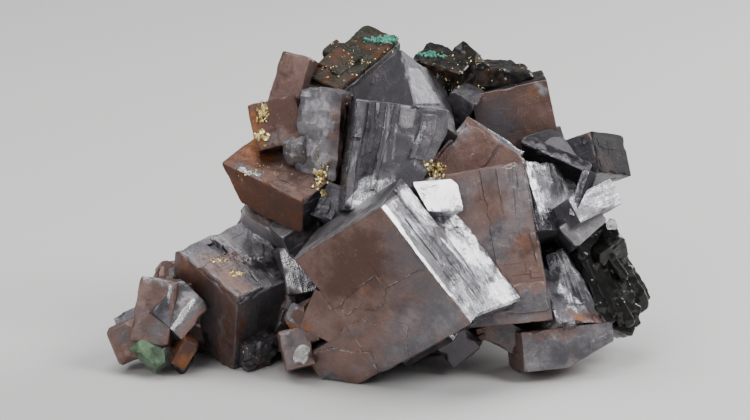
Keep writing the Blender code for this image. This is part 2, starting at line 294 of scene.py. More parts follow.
def makeSphaleriteLook():
    # tint: black where 0, brown grit with brassy spots where 1
    c = mineralColors
    look = Look("sphalerite", Coat_Roughness=0.05, Specular_IOR_Level=0.08)
    place = look.attribute("place")
    tint = look.attribute("tint", 2)
    clouds = look.noise(place, 0.16, 3.0)
    mottle = look.noise(place, 0.5, 4.0)
    fine = look.noise(place, 2.2, 4.0, 0.65)
    facets = look.node("SeparateColor", None, {0: look.cells(place, 0.6, None, "Color")})
    color = look.mix(mottle.step(0.35, 0.7), c["sphaleriteDark"], c["sphaleriteLight"])
    grit = look.mix(fine.step(0.35, 0.66), c["gritDark"], c["gritLight"])
    grit = look.mix(clouds.step(0.48, 0.62) * 0.8, grit, c["gritRed"])
    color = look.mix((tint + (mottle - 0.5) * 1.2).step(0.2, 0.9), color, grit)
    spots = 1.0 - look.cells(look.warp(place, 1.1, 1.8), 0.45).step(0.05, 0.16)
    brass = spots * ((clouds + tint * 0.14).step(0.56, 0.64) * tint.step(0.0, 0.3))
    color = look.mix(brass, color, c["brassSpot"])
    look.feed(look.shader.inputs["Coat Weight"], 0.6 - tint * 0.55 + brass * 0.3)
    rough = 0.22 + fine * 0.30 + tint * 0.15
    return look.finish(color, rough, [facets * 0.45, fine * 0.20], brass * 0.9)


def makeBrassLook():
    look = Look("chalcopyrite", Metallic=1.0)
    patches = look.noise(look.node("TexCoord", output=3), 900.0, 3.0)
    share = patches.step(0.30, 0.60)
    color = look.mix(share, mineralColors["brassDark"], mineralColors["brassLight"])
    return look.finish(color, 0.22 + patches * 0.25, [patches * 0.12])


def makeMalachiteLook():
    look = Look("malachite")
    patches = look.noise(look.node("TexCoord", output=3), 700.0, 4.0)
    share = patches.step(0.35, 0.65)
    color = look.mix(share, mineralColors["malachiteDark"], mineralColors["malachiteLight"])
    return look.finish(color, 0.55 + patches * 0.3, [patches * 0.3])


def makeGreenLook():
    look = Look("green crystal", Coat_Weight=0.5, Coat_Roughness=0.15)
    place = look.attribute("place")
    clouds = look.noise(place, 0.30, 4.0)
    fine = look.noise(place, 1.6, 4.0, 0.65)
    share = clouds.step(0.35, 0.65)
    color = look.mix(share, mineralColors["greenDark"], mineralColors["greenLight"])
    color = look.mix(fine.step(0.60, 0.72) * 0.6, color, mineralColors["greenFlecks"])
    return look.finish(color, 0.24 + fine * 0.3, [clouds * 0.2, fine * 0.12], 0.1)


def makeQuartzLook():
    look = Look("quartz", Transmission_Weight=0.75, IOR=1.55, Metallic=0.0)
    milky = look.noise(look.node("TexCoord", output=3), 500.0, 4.0)
    share = milky.step(0.4, 0.7)
    color = look.mix(share, mineralColors["quartzMilky"], mineralColors["quartzClear"])
    return look.finish(color, 0.10 + milky * 0.22, [milky * 0.15])


print("making the finishes")
looks = {
    "galena": makeGalenaLook(),
    "sphalerite": makeSphaleriteLook(),
    "chalcopyrite": makeBrassLook(),
    "malachite": makeMalachiteLook(),
    "green": makeGreenLook(),
    "quartz": makeQuartzLook(),
}


# Wear that is pushed into the faces, as textures for Displace modifiers. Scales are in mm.
def reliefTexture(name, kind, scale, **settings):
    made = bpy.data.textures.new(name, kind)
    made.noise_scale = scale
    for key, value in settings.items():
        setattr(made, key, value)
    return made


relief = {
    "plates": reliefTexture(
        "plates", "VORONOI", 5.5, distance_metric="CHEBYCHEV", color_mode="POSITION"
    ),
    "waves": reliefTexture("waves", "CLOUDS", 6.0, noise_depth=2),
    "grit": reliefTexture("grit", "CLOUDS", 1.3, noise_depth=2),
    "lumps": reliefTexture(
        "lumps", "VORONOI", 4.5, distance_metric="DISTANCE", color_mode="INTENSITY"
    ),
}
wearSeat = bpy.data.objects.new("wearSeat", None)
bpy.context.scene.collection.objects.link(wearSeat)


def wear(block, depths, offset):
    wearSeat.location = offset
    bpy.context.view_layer.objects.active = block
    for name, depth in depths.items():
        push = block.modifiers.new(name, "DISPLACE")
        push.texture = relief[name]
        push.texture_coords = "OBJECT"
        push.texture_coords_object = wearSeat
        push.mid_level = 0.5
        push.strength = depth
        bpy.ops.object.modifier_apply(modifier=name)


# Crystals, in mm and degrees. What the dictionary of a crystal can give:
# at, size, turn: its middle in the tables' frame, its edges, and its turn round x, y and z
# tones: the tone of each side. lines: the way a side's streaks run
# ledges: side, two spans as shares of the half sizes, rise
# slants: side, the axis it slants along, two places on the slanted plane
# plates: side, outline, rise. stains: side, middle, size, tone, strength
# patches: side, outline, tone, width of the border
# steps: how many low steps a side gets by chance, and their least and greatest rise
# quiet: the same for one side. litter: how many small cubes, and their least and greatest size
usual = {
    "pitch": 0.5,  # between the points of a face
    "worn": 0.14,  # width of the worn edges, cut into rings
    "rings": 1,
    "chip": 0.9,  # how far the broken edges reach in
    "steps": (4, 0.03, 0.14),
    "quiet": {},
    "lines": {},
    "ledges": (),
    "slants": (),
    "plates": (),
    "stains": (),
    "patches": (),
    "litter": (0, 1, 1),
    "relief": {},
}
usualRelief = {"waves": 0.14, "grit": 0.08}
patternShift = (20, 200)  # how far into the patterns a crystal is set, by chance

longEdge = 1.6  # times the worn width: shorter edges belong to the worn rings
onLevel = 0.01  # how far a side's points may be from its level
stepRun = 0.07  # what a step's wall takes up on the face
stepRim = 0.3  # how near the edges of a side its points stay where they are
drawnInside, drawnOutside = 0.5, 0.8  # points nearer to an outline, in pitches, are drawn onto it
ledgeSink = 1.5  # how deep a ledge is set into its crystal
chanceStep = {
    "start": (-0.2, 0.8),  # shares of the side's length
    "length": (0.12, 0.6),
    "notch": (0.1, 0.4),  # shares of the step's own length
    "plainCorners": 0.4,
    "ways": (1, 1, -1),  # raised twice as often as sunk
}
edgeWear = {
    "waves": ((0.15, 0.5), (0.6, 1.4), (0, 6)),  # slow rate, quick rate and phase along an edge
    "shares": (0.6, 0.4),  # of the slow and the quick wave
    "least": 0.1,
    "power": 1.6,  # past 1, most of an edge stays sharp
    "corners": (-1, 2),  # times the chip, so that about one corner in three stays whole
}
litterWays = {
    "spread": 0.9,  # share of the half sizes
    "sink": (0.2, 0.45),  # how deep its middle lies under the crystal's side, as a share of its size
    "look": {
        "pitch": 1,
        "chip": 0.4,
        "steps": (1, 0.05, 0.2),
        "quiet": {},
        "plates": (),
        "patches": (),
        "slants": (),
    },
}
stainEnd = 1.5  # times its size, where a stain has faded out
straightBorder = 1  # past this width, the border of a patch winds
# Width and strengths of the painted highlight above a step's wall and the painted shade below it
stepShadingWidth = 0.15  # of the lines along the steps
stepShadingStrengths = {"given": 0.95, "chance": 0.35}
streakAcross, streakAlong = 1.6, 0.07  # rates of the streaks' pattern

# The waves that a stain's border winds in, along u and along v: height, rates along u and v, phase
windings = (
    ((0.7, 0.5, 1.1, 0), (0.4, 2.3, -1.7, 1), (0.25, 0, 4.1, 2)),
    ((0.7, 0.9, -0.6, 3), (0.4, 2.1, 1.9, 0), (0.25, 3.7, 0, 5)),
)


def sideAxis(side):
    return axes.index(side[1])


def sideSign(side):
    return 1 if side[0] == "+" else -1


def selectLong(mesh, axis, shortest):
    # The edges that run along the axis, but not those across the worn rings.
    for edge in mesh.edges:
        along = edge.verts[1].co - edge.verts[0].co
        edge.select = along.length > shortest and abs(along[axis]) > 0.99 * along.length
    mesh.select_flush_mode()


def cutBlock(low, high, pitch, worn, rings=1):
    # A cube at its size with worn edges, its faces cut into small squares.
    bpy.ops.mesh.primitive_cube_add(size=1)
    block = bpy.context.object
    bpy.ops.object.mode_set(mode="EDIT")
    bpy.ops.mesh.select_mode(type="EDGE")
    bpy.ops.mesh.select_all(action="SELECT")
    bpy.ops.transform.resize(value=high - low)
    bpy.ops.transform.translate(value=(high + low) / 2)
    bpy.ops.mesh.bevel(offset=min(worn, min(high - low) / 4), segments=rings, affect="EDGES")
    for axis in range(3):
        mesh = bmesh.from_edit_mesh(block.data)
        selectLong(mesh, axis, longEdge * worn)
        bmesh.update_edit_mesh(block.data)
        cuts = round((high[axis] - low[axis]) / pitch) - 1
        if cuts > 0:
            bpy.ops.mesh.subdivide(number_cuts=cuts)
    bpy.ops.object.mode_set(mode="OBJECT")
    return block


def readPoints(mesh):
    points = np.empty(len(mesh.vertices) * 3, np.float32)
    mesh.vertices.foreach_get("co", points)
    return points.reshape(-1, 3)


def writePoints(mesh, points):
    mesh.vertices.foreach_set("co", points.astype(np.float32).ravel())


def cornerData(mesh):
    # For each face corner: its point, and the axis and direction of its face.
    # Then how many corners each face has.
    corners = np.empty(len(mesh.loops), np.int32)
    mesh.loops.foreach_get("vertex_index", corners)
    counts = np.empty(len(mesh.polygons), np.int32)
    mesh.polygons.foreach_get("loop_total", counts)
    normals = np.empty(len(mesh.polygons) * 3, np.float32)
    mesh.polygons.foreach_get("normal", normals)
    normals = np.repeat(normals.reshape(-1, 3), counts, axis=0)
    axis = np.abs(normals).argmax(axis=1)
    forward = normals[np.arange(len(normals)), axis] > 0
    return corners, axis, forward, counts


def store(mesh, name, kind, domain, values, field):
    layer = mesh.attributes.new(name, kind, domain)
    layer.data.foreach_set(field, np.asarray(values, np.float32).ravel())


def spotsOn(side, points):
    # The points' places on a side: all but the axis that the side faces along.
    return np.delete(np.array(points), sideAxis(side), axis=-1)


def inside(points, outline):
    found = np.zeros(len(points), bool)
    for (ax, ay), (bx, by) in zip(outline, outline[1:] + outline[:1]):
        if ay == by:
            continue
        crosses = (points[:, 1] < ay) != (points[:, 1] < by)
        found ^= crosses & (points[:, 0] < ax + (points[:, 1] - ay) * (bx - ax) / (by - ay))
    return found


def nearOutline(points, outline):
    # How far each point is from the outline, and the place on the outline that is nearest to it.
    nearest = np.full(len(points), np.inf)
    places = np.array(points, float)
    for start, end in zip(outline, outline[1:] + outline[:1]):
        start = np.array(start, float)
        span = np.array(end) - start
        share = np.clip((points - start) @ span / (span @ span), 0, 1)
        foot = start + share[:, None] * span
        away = np.linalg.norm(points - foot, axis=1)
        closer = away < nearest
        nearest[closer] = away[closer]
        places[closer] = foot[closer]
    return nearest, places


def sidePoints(points, low, high, side):
    n = sideAxis(side)
    level = high[n] if sideSign(side) > 0 else low[n]
    return np.flatnonzero(np.abs(points[:, n] - level) < onLevel)


def rimDistance(side, points, low, high):
    # How far each point of a side is from the nearest edge of that side.
    spot = spotsOn(side, points)
    return np.minimum(spot - spotsOn(side, low), spotsOn(side, high) - spot).min(axis=1)


def raisePlate(points, onSide, side, outline, rise, rim, pitch):
    # Lifts what lies inside the outline, after drawing the points near the outline onto it.
    n = sideAxis(side)
    spot = spotsOn(side, points[onSide])
    nearest, places = nearOutline(spot, outline)
    within = inside(spot, outline)
    drawn = (rim > stepRim) & (nearest < np.where(within, drawnInside, drawnOutside) * pitch)
    away = (spot - places) / np.maximum(nearest, 1e-6)[:, None]
    spot[drawn] = places[drawn] + np.where(within, 0, stepRun)[drawn, None] * away[drawn]
    others = [k for k in range(3) if k != n]
    for column, k in enumerate(others):
        points[onSide, k] = spot[:, column]
    points[onSide[within], n] += rise * sideSign(side)


def steppedRectangle(chance, left, right, bottom, top):
    # A rectangle with some of its corners cut in steps.
    outline = []
    turns = ((left, bottom, 1, 1), (right, bottom, -1, 1), (right, top, -1, -1), (left, top, 1, -1))
    for u, v, towardU, towardV in turns:
        du = towardU * (right - left) * chance.uniform(*chanceStep["notch"])
        dv = towardV * (top - bottom) * chance.uniform(*chanceStep["notch"])
        if chance.random() < chanceStep["plainCorners"]:
            outline.append((u, v))
            continue
        path = [(u, v + dv), (u + du, v + dv), (u + du, v)]
        outline += path if towardU == towardV else path[::-1]
    return outline


def chancePlates(chance, low, high, side, plan):
    # Low steps that are drawn by chance: how many, and their least and greatest rise.
    count, least, most = plan
    found = []
    for item in range(count):
        spans = []
        for k in range(3):
            if k != sideAxis(side):
                length = high[k] - low[k]
                start = low[k] + length * chance.uniform(*chanceStep["start"])
                spans += [start, start + length * chance.uniform(*chanceStep["length"])]
        rise = chance.uniform(least, most) * chance.choice(chanceStep["ways"])
        found.append((side, steppedRectangle(chance, *spans), rise))
    return found


def chipEdges(points, low, high, chance, chip):
    # Wears the edges back by a width that changes along them, and breaks some corners off.
    middle, half = np.array((low + high) / 2), np.array((high - low) / 2)
    local = points - middle
    ends = np.sign(local)
    waves = np.array([[chance.uniform(*span) for span in edgeWear["waves"]] for edge in range(12)])
    slowShare, quickShare = edgeWear["shares"]
    for n in range(3):
        i, j = [k for k in range(3) if k != n]
        slow, quick, phase = waves[4 * n + 2 * (ends[:, i] > 0) + (ends[:, j] > 0)].T
        along = local[:, n]
        wave = np.sin(slow * along + phase) * slowShare + np.sin(quick * along + 2 * phase) * quickShare
        width = edgeWear["least"] + chip * np.clip(wave, 0, 1) ** edgeWear["power"]
        gap = half[i] - np.abs(local[:, i]) + half[j] - np.abs(local[:, j])
        push = np.clip(width - gap, 0, None) / 2
        local[:, i] -= ends[:, i] * push
        local[:, j] -= ends[:, j] * push
    for n in range(8):
        corner = np.array([1 if n >> k & 1 else -1 for k in range(3)])
        width = chance.uniform(*edgeWear["corners"]) * chip
        gap = (half - local * corner).sum(axis=1)
        local -= corner * np.clip(width - gap, 0, None)[:, None] / 3
    points[:] = local + middle


def slantSide(points, half, side, axis, first, second):
    # Moves a side to a slanted plane: the side, the axis it slants along, and two places on that plane.
    n = sideAxis(side)
    k = axes.index(axis)
    sign = sideSign(side)
    rate = (second[1] - first[1]) / (second[0] - first[0])
    reach = np.clip(sign * (first[1] + (points[:, k] - first[0]) * rate), None, half[n])
    depth = points[:, n] * sign + half[n]
    points[:, n] = sign * (depth * (reach + half[n]) / (2 * half[n]) - half[n])


def wobble(spot):
    # The places moved about a little, so that the border of a stain winds.
    u, v = spot.T
    moves = []
    for waves in windings:
        parts = [height * np.sin(rateU * u + rateV * v + phase) for height, rateU, rateV, phase in waves]
        moves.append(sum(parts))
    return spot + np.stack(moves, axis=1)


def toneOn(crystal, side, spot):
    # The tone of each place on a side: its own, then the soft stains, then the patches with an outline.
    own = crystal["tones"].get(side, crystal["tones"]["rest"])
    shown = np.tile(tones[own], (len(spot), 1))
    winding = wobble(spot)
    layers = []
    for stainSide, middle, size, name, strength in crystal["stains"]:
        if stainSide == side:
            away = np.linalg.norm((winding - middle) / size, axis=1)
            layers.append((name, strength * np.clip(stainEnd - away, 0, 1)))
    for patchSide, outline, name, border in crystal["patches"]:
        if patchSide == side:
            at = winding if border > straightBorder else spot
            nearest = nearOutline(at, outline)[0]
            signed = np.where(inside(at, outline), nearest, -nearest)
            layers.append((name, np.clip(0.5 + signed / border, 0, 1)))
    for name, share in layers:
        shown = shown * (1 - share[:, None]) + np.array(tones[name]) * share[:, None]
    return shown


def stepLines(crystal, side, spot, middles, plates):
    # Painted highlight along the steps of a side, on the upper side of a wall, and painted shade below
    # it.
    given = [outline for plateSide, outline, rise in crystal["plates"]]
    stepShading = np.zeros(len(spot))
    for plateSide, outline, rise in plates:
        if plateSide == side:
            mark = np.clip(1 - nearOutline(spot, outline)[0] / stepShadingWidth, 0, 1)
            mark *= stepShadingStrengths["given" if outline in given else "chance"]
            mark *= np.where(inside(middles, outline) == (rise > 0), 1, -1)
            stepShading = np.where(np.abs(mark) > np.abs(stepShading), mark, stepShading)
    return stepShading


def paint(mesh, crystal, faces, points, rim, plates, offset):
    # Writes what the galena finish reads: place, streak, tone, edge, and the painted highlight and shade
    # of the steps.
    corners, axis, forward, counts = faces
    at = points[corners]
    starts = np.cumsum(counts) - counts
    middles = np.repeat(np.add.reduceat(at, starts) / counts[:, None], counts, axis=0)
    tone = np.zeros((len(at), 4))
    stepShading = np.zeros(len(at))
    streak = np.zeros((len(at), 3))
    for side in sixSides:
        n = sideAxis(side)
        here = (axis == n) & (forward == (sideSign(side) > 0))
        spot = spotsOn(side, at[here])
        tone[here] = toneOn(crystal, side, spot)
        stepShading[here] = stepLines(crystal, side, spot, spotsOn(side, middles[here]), plates)
        along = crystal["lines"].get(side, "x" if n == 2 else "z")
        stretch = np.full(3, streakAcross)
        stretch[axes.index(along)] = streakAlong
        streak[here] = (at[here] + offset) * stretch
    store(mesh, "place", "FLOAT_VECTOR", "POINT", points + np.array(offset), "vector")
    store(mesh, "streak", "FLOAT_VECTOR", "CORNER", streak, "vector")
    store(mesh, "tone", "FLOAT_COLOR", "CORNER", tone, "color")
    store(mesh, "edge", "FLOAT", "CORNER", rim[corners], "value")
    store(mesh, "stepShading", "FLOAT", "CORNER", stepShading, "value")


def ledgeBox(half, side, first, second, rise):
    # The lowest and highest corner of a ledge.
    spans = iter((first, second))
    low, high = Vector(), Vector()
    for k in range(3):
        if k != sideAxis(side):
            start, end = next(spans)
            low[k], high[k] = start * half[k], end * half[k]
        elif sideSign(side) > 0:
            low[k], high[k] = half[k] - ledgeSink, half[k] + rise
        else:
            low[k], high[k] = -half[k] - rise, ledgeSink - half[k]
    return low, high


def setInPlace(block, at, turn):
    angles = Euler([math.radians(angle) for angle in turn], "XYZ")
    spot = Matrix.Translation((Vector(at) - tableOrigin) * mm)
    block.matrix_world = spot @ angles.to_matrix().to_4x4() @ Matrix.Scale(mm, 4)
    bpy.context.view_layer.update()
    lowest = min((block.matrix_world @ Vector(corner)).z for corner in block.bound_box)
    bpy.ops.object.select_all(action="DESELECT")
    block.select_set(True)
    bpy.context.view_layer.objects.active = block
    bpy.ops.object.transform_apply(location=True, rotation=True, scale=True)
    if lowest < 0:
        cutFlat(block)


def cutFlat(block):
    # Cuts off what reaches below the face that the specimen rests on.
    bpy.ops.object.mode_set(mode="EDIT")
    bpy.ops.mesh.select_all(action="SELECT")
    bpy.ops.mesh.bisect(plane_co=(0, 0, 0), plane_no=(0, 0, 1), use_fill=True, clear_inner=True)
    bpy.ops.object.mode_set(mode="OBJECT")


def carveBlock(crystal, low, high, chance, offset):
    # One box of a crystal with its steps, worn edges, broken corners and finish.
    pitch = crystal["pitch"]
    block = cutBlock(low, high, pitch, crystal["worn"], crystal["rings"])
    points = readPoints(block.data).astype(float)
    faces = cornerData(block.data)
    plates = list(crystal["plates"])
    for side in sixSides:
        plates += chancePlates(chance, low, high, side, crystal["quiet"].get(side, crystal["steps"]))
    onSides = {side: sidePoints(points, low, high, side) for side in sixSides}
    rims = {side: rimDistance(side, points[found], low, high) for side, found in onSides.items()}
    rim = np.zeros(len(points))
    for side in sixSides:
        rim[onSides[side]] = rims[side]
    for side, outline, rise in plates:
        raisePlate(points, onSides[side], side, outline, rise, rims[side], pitch)
    chipEdges(points, low, high, chance, crystal["chip"])
    half = np.array(crystal["size"]) / 2
    for slant in crystal["slants"]:
        slantSide(points, half, *slant)
    paint(block.data, crystal, faces, points, rim, plates, offset)
    writePoints(block.data, points)
    return block


def growCrystal(name, given):
    crystal = {**usual, **given}
    chance = random.Random(name)
    offset = Vector([round(chance.uniform(*patternShift), 1) for axis in axes])
    half = Vector(crystal["size"]) / 2
    boxes = [(-half, half)] + [ledgeBox(half, *ledge) for ledge in crystal["ledges"]]
    blocks = []
    for low, high in boxes:
        block = carveBlock(crystal, low, high, chance, offset)
        wear(block, {**usualRelief, **crystal["relief"]}, offset)
        setInPlace(block, crystal["at"], crystal["turn"])
        blocks.append(block)
    return blocks + growLitter(crystal, chance, offset)


def growLitter(crystal, chance, offset):
    # Small cubes in line with the crystal, set into its edges.
    count, least, most = crystal["litter"]
    spread = litterWays["spread"]
    half = Vector(crystal["size"]) / 2
    plain = {**crystal, **litterWays["look"]}
    blocks = []
    for item in range(count):
        size = Vector([chance.uniform(least, most) for axis in axes])
        spot = Vector([chance.uniform(-spread, spread) * span for span in half])
        for k in chance.sample(range(3), 2):
            end = chance.choice((-1, 1))
            spot[k] = end * (half[k] - size[k] * chance.uniform(*litterWays["sink"]))
        block = carveBlock(plain, spot - size / 2, spot + size / 2, chance, offset)
        setInPlace(block, crystal["at"], crystal["turn"])
        blocks.append(block)
    return blocks


def joinPieces(blocks, name, look, smooth=24):
    # One piece of the blocks, smooth where faces meet at less than so many degrees.
    bpy.ops.object.select_all(action="DESELECT")
    for block in blocks:
        block.select_set(True)
    bpy.context.view_layer.objects.active = blocks[0]
    if len(blocks) > 1:
        bpy.ops.object.join()
    piece = bpy.context.view_layer.objects.active
    piece.name = name
    piece.data.name = name
    if smooth:
        bpy.ops.object.shade_smooth_by_angle(angle=math.radians(smooth))
    piece.data.materials.clear()
    piece.data.materials.append(looks[look])
    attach(piece, "root")
    bpy.ops.object.select_all(action="DESELECT")
    piece.data.calc_loop_triangles()
    print(name, len(piece.data.loop_triangles), "triangles")
    return piece


def nodePiece(blocks, node, look, smooth):
    # A piece that takes the place of the node that it is named after.
    piece = joinPieces(blocks, node.title().replace("_", ""), look, smooth)
    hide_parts(node)
    return piece


def growGalena(name, crystals):
    blocks = []
    for crystalName, given in crystals.items():
        blocks += growCrystal(crystalName, given)
    piece = joinPieces(blocks, name, "galena")
    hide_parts("galena_cluster")
    return piece


# The largest crystal, with the silver break down its right side
# A chip on the slab, raised a little and painted white: a painted highlight
brightChip = [(1.8, 6.6), (3.8, 7.4), (3.6, 4)]
frontCrystals = {
    "front cube": {
        "at": (3.5, -18.5, 32),
        "size": (28, 15, 35),
        "turn": (16, -34, -30),
        "pitch": 0.42,
        # Its underside is black crust: a painted shade
        "tones": {"-y": "film", "+x": "dull silver", "+z": "grey", "-z": "crust", "rest": "brown"},
        "lines": {"+x": "z", "+z": "x"},
        "ledges": [
            ("-x", (-0.97, 0.9), (-0.98, 0.24), 7),
            ("-x", (-0.99, 0.85), (-0.97, -0.24), 15.5),
            ("-z", (-0.6, 0.5), (-0.9, 0.5), 1.7),
        ],
        "stains": [
            ("-y", (1, 8), (9, 6.5), "dark film", 1.0),
            ("-y", (-8, 7), (5, 3.4), "dark film", 0.95),
            ("-y", (12, 6), (7, 9), "lead", 0.6),
            ("-y", (7, -5), (10, 6), "lead", 0.6),
            ("-y", (-2.5, 2.2), (2.4, 1.6), "orange", 0.55),
            ("-y", (3, -5), (3, 1.6), "rust", 0.35),
            ("-y", (-22, 4), (1.8, 1.6), "orange", 0.9),
            ("-y", (-18, 1), (6, 5), "pink", 0.7),
            ("-y", (-27, -11), (2.6, 2.2), "grey", 0.9),
            ("-y", (-20, -9), (9, 7), "pink", 0.6),
            # Paler towards the bottom of the front: less film, and partly painted light bouncing up from
            # below
            ("-y", (-2, -9), (8, 2.6), "pale", 0.45),
            ("-y", (-17, -14), (5, 2), "pale", 0.4),
            ("-y", (-11, -5), (4, 1.6), "pale", 0.35),
            ("-y", (2, 11), (6, 5), "dark film", 0.8),
            ("+z", (11, 2), (4, 5), "dusk", 1.0),
            ("+z", (-8, -6), (4, 1.5), "rust", 0.6),
            ("+x", (-4, 0), (2.4, 7), "lead", 0.5),
            ("+x", (6, 2), (1.4, 3), "lead", 0.8),
            ("+x", (2, -3), (2.0, 4), "lead", 0.5),
        ],
        "patches": [
            # The grey band along the bottom of the front: less film, and lighter as painted bounce light
            ("-y", [(-9, -11), (-2, -12.2), (5, -11.4), (10, -8.8), (14.6, -7), (14.6, -18),
                    (-15.6, -18)], "grey", 7.0),
            ("+z", [(-14, -7.6), (13, -7.6), (13, -5.5), (0, -4), (-14, -4)], "pale", 1.6),
            # The black strip along the bottom is a painted shade
            ("-y", [(-9, -17.7), (7, -17.7), (7, -21), (-9, -21)], "crust", 0.3),
            ("-y", [(-30, -18), (-30, -10), (-26, -11), (-25, -14), (-22, -18)], "grey", 1.0),
            # The white bands on the silver side are painted highlights
            ("+x", [(-7.6, 18), (-5.4, 18), (-6.2, 4), (-6.4, -18), (-7.6, -18)], "painted highlight", 0.7),
            ("+x", [(-7.6, 18), (7.6, 18), (7.6, 16), (2, 15.6), (-3, 16.6), (-7.6, 17.2)], "crust", 0.6),
            ("+x", [(-7.6, -6), (-6.6, -7), (-4.8, -17), (-7.6, -17)], "silver", 1.0),
            ("+x", [(1.5, 16), (4.5, 17), (7.6, 12), (7.6, 4), (5, 3)], "silver", 2.0),
            ("+x", [(4.6, 1), (5.4, 0), (6.4, -10), (5.4, -10)], "painted highlight", 0.6),
            ("+x", [(-4, -9), (1, -6), (7.6, -8), (7.6, -18), (-6, -18)], "silver", 3.0),
        ],
        "plates": [
            ("-y", [(-14.2, 18), (-14.4, 3), (-14.5, 2.2), (-11.7, 1.9), (-8.6, 3.2), (-1.9, 3.8),
                    (1.5, 4.1), (1.5, 0.2), (9.7, 0), (14.5, -0.4), (14.5, 18)], 0.34),
            ("-y", [(-11.7, 1.9), (-8.6, 3.2), (-1.9, 3.8), (1.5, 4.1), (1.5, 0.2), (-1.5, -2.7),
                    (-4.6, -3.2), (-6.6, -1.8), (-8.1, -0.4), (-12.2, -0.9)], 0.3),
            ("-y", [(-28.5, -4), (-21, -6), (-17.2, -9.3), (-12.9, -11.5), (-15.6, -18),
                    (-30, -18)], 0.25),
            ("-y", [(-14.2, -3), (-9, -3.6), (-7.4, -6), (-3, -7), (0, -10.4), (-3, -13), (-6, -18),
                    (-15, -18)], 0.1),
            ("-y", [(-28.4, -11.4), (-25.6, -11.3), (-25, -12.8), (-24, -18), (-30, -18),
                    (-30, -12)], -0.5),
            ("+x", [(-8, 18), (-5.5, 18), (-5.9, -18), (-8, -18)], 0.3),
            ("+x", [(1.6, 18), (3.4, 18), (5.0, -12), (2.8, -18), (1.6, -18)], 0.25),
        ],
        "quiet": {"-y": (6, 0.02, 0.06), "+x": (4, 0.05, 0.2)},
        "chip": 0.3,
        "relief": {"waves": 0.12, "grit": 0.05},
    },
    "front corner": {
        "at": (-11, -14.3, 22.5),
        "size": (12, 8, 10),
        "turn": (28.7, -61.5, -46.5),
        "tones": {"-y": "film", "rest": "brown"},
        "stains": [("-y", (-3, 0), (4, 4), "pink", 0.8), ("-y", (-5, 3), (2, 1.6), "orange", 0.8)],
        "quiet": {"-y": (3, 0.02, 0.06)},
        "chip": 0.3,
        "relief": {"waves": 0.12, "grit": 0.05},
    },
    "silver slab": {
        "at": (19.7, -11.5, 33.1),
        "size": (14.5, 11, 29),
        "turn": (-38, -9, 34),
        "pitch": 0.42,
        "tones": {"-y": "silver", "rest": "dull silver"},
        "stains": [
            ("-y", (-4.4, 9.5), (2.2, 2.6), "lead", 0.9),
            # The white stains are painted highlights
            ("-y", (2.8, 5.2), (1.4, 1.6), "painted highlight", 0.7),
            ("-y", (2.4, -10.4), (3.0, 3.4), "painted highlight", 0.35),
            ("-y", (-2.6, 1.2), (2.4, 3), "painted highlight", 0.6),
            ("-y", (1, 0), (3, 3), "painted highlight", 0.45),
            ("-y", (2.4, -6.6), (3.4, 2.2), "dull silver", 0.9),
            ("-y", (-3, -11), (3, 3), "dull silver", 0.5),
        ],
        "patches": [
            # The white patches are painted highlights
            ("-y", brightChip, "painted highlight", 0.4),
            ("-y", [(-4.6, 4.8), (-3.1, 5.4), (-3.6, 3.8)], "painted highlight", 0.4),
            ("-y", [(2.6, 15), (3, 6), (4.6, -2), (5.2, -7), (9, -7), (9, 15)], "grey", 2.0),
        ],
        "plates": [
            ("-y", brightChip, 0.3),
            ("-y", [(-8, -3), (-4, -5), (-1, -9), (-2, -15), (-8, -15)], 0.3),
        ],
        "slants": [("+x", "z", (-11.75, 6.7), (4.85, 3.6))],
        "steps": (5, 0.05, 0.2),
        "worn": 0.5,
        "relief": {"waves": 0.9, "grit": 0.2, "plates": 0.2},
    },
    "bright patch block": {
        "at": (12, -9.5, 47),
        "size": (11.5, 12, 8),
        "turn": (-33, 2, 26),
        # Its front is painted white: a painted highlight
        "tones": {"-y": "painted highlight", "rest": "silver"},
        "slants": [("-x", "z", (-4, -3.6), (4, -6.1)), ("-z", "x", (-5.75, -3.2), (5.75, -4.6))],
        "stains": [
            ("-y", (-4.4, 0), (1, 3), "silver", 0.7),
            ("-y", (1.6, -4), (3, 0.7), "dull silver", 0.8),
        ],
        "quiet": {"-y": (3, 0.03, 0.1)},
        "chip": 0.9,
        "relief": {"waves": 0.08, "grit": 0.05},
    },
}

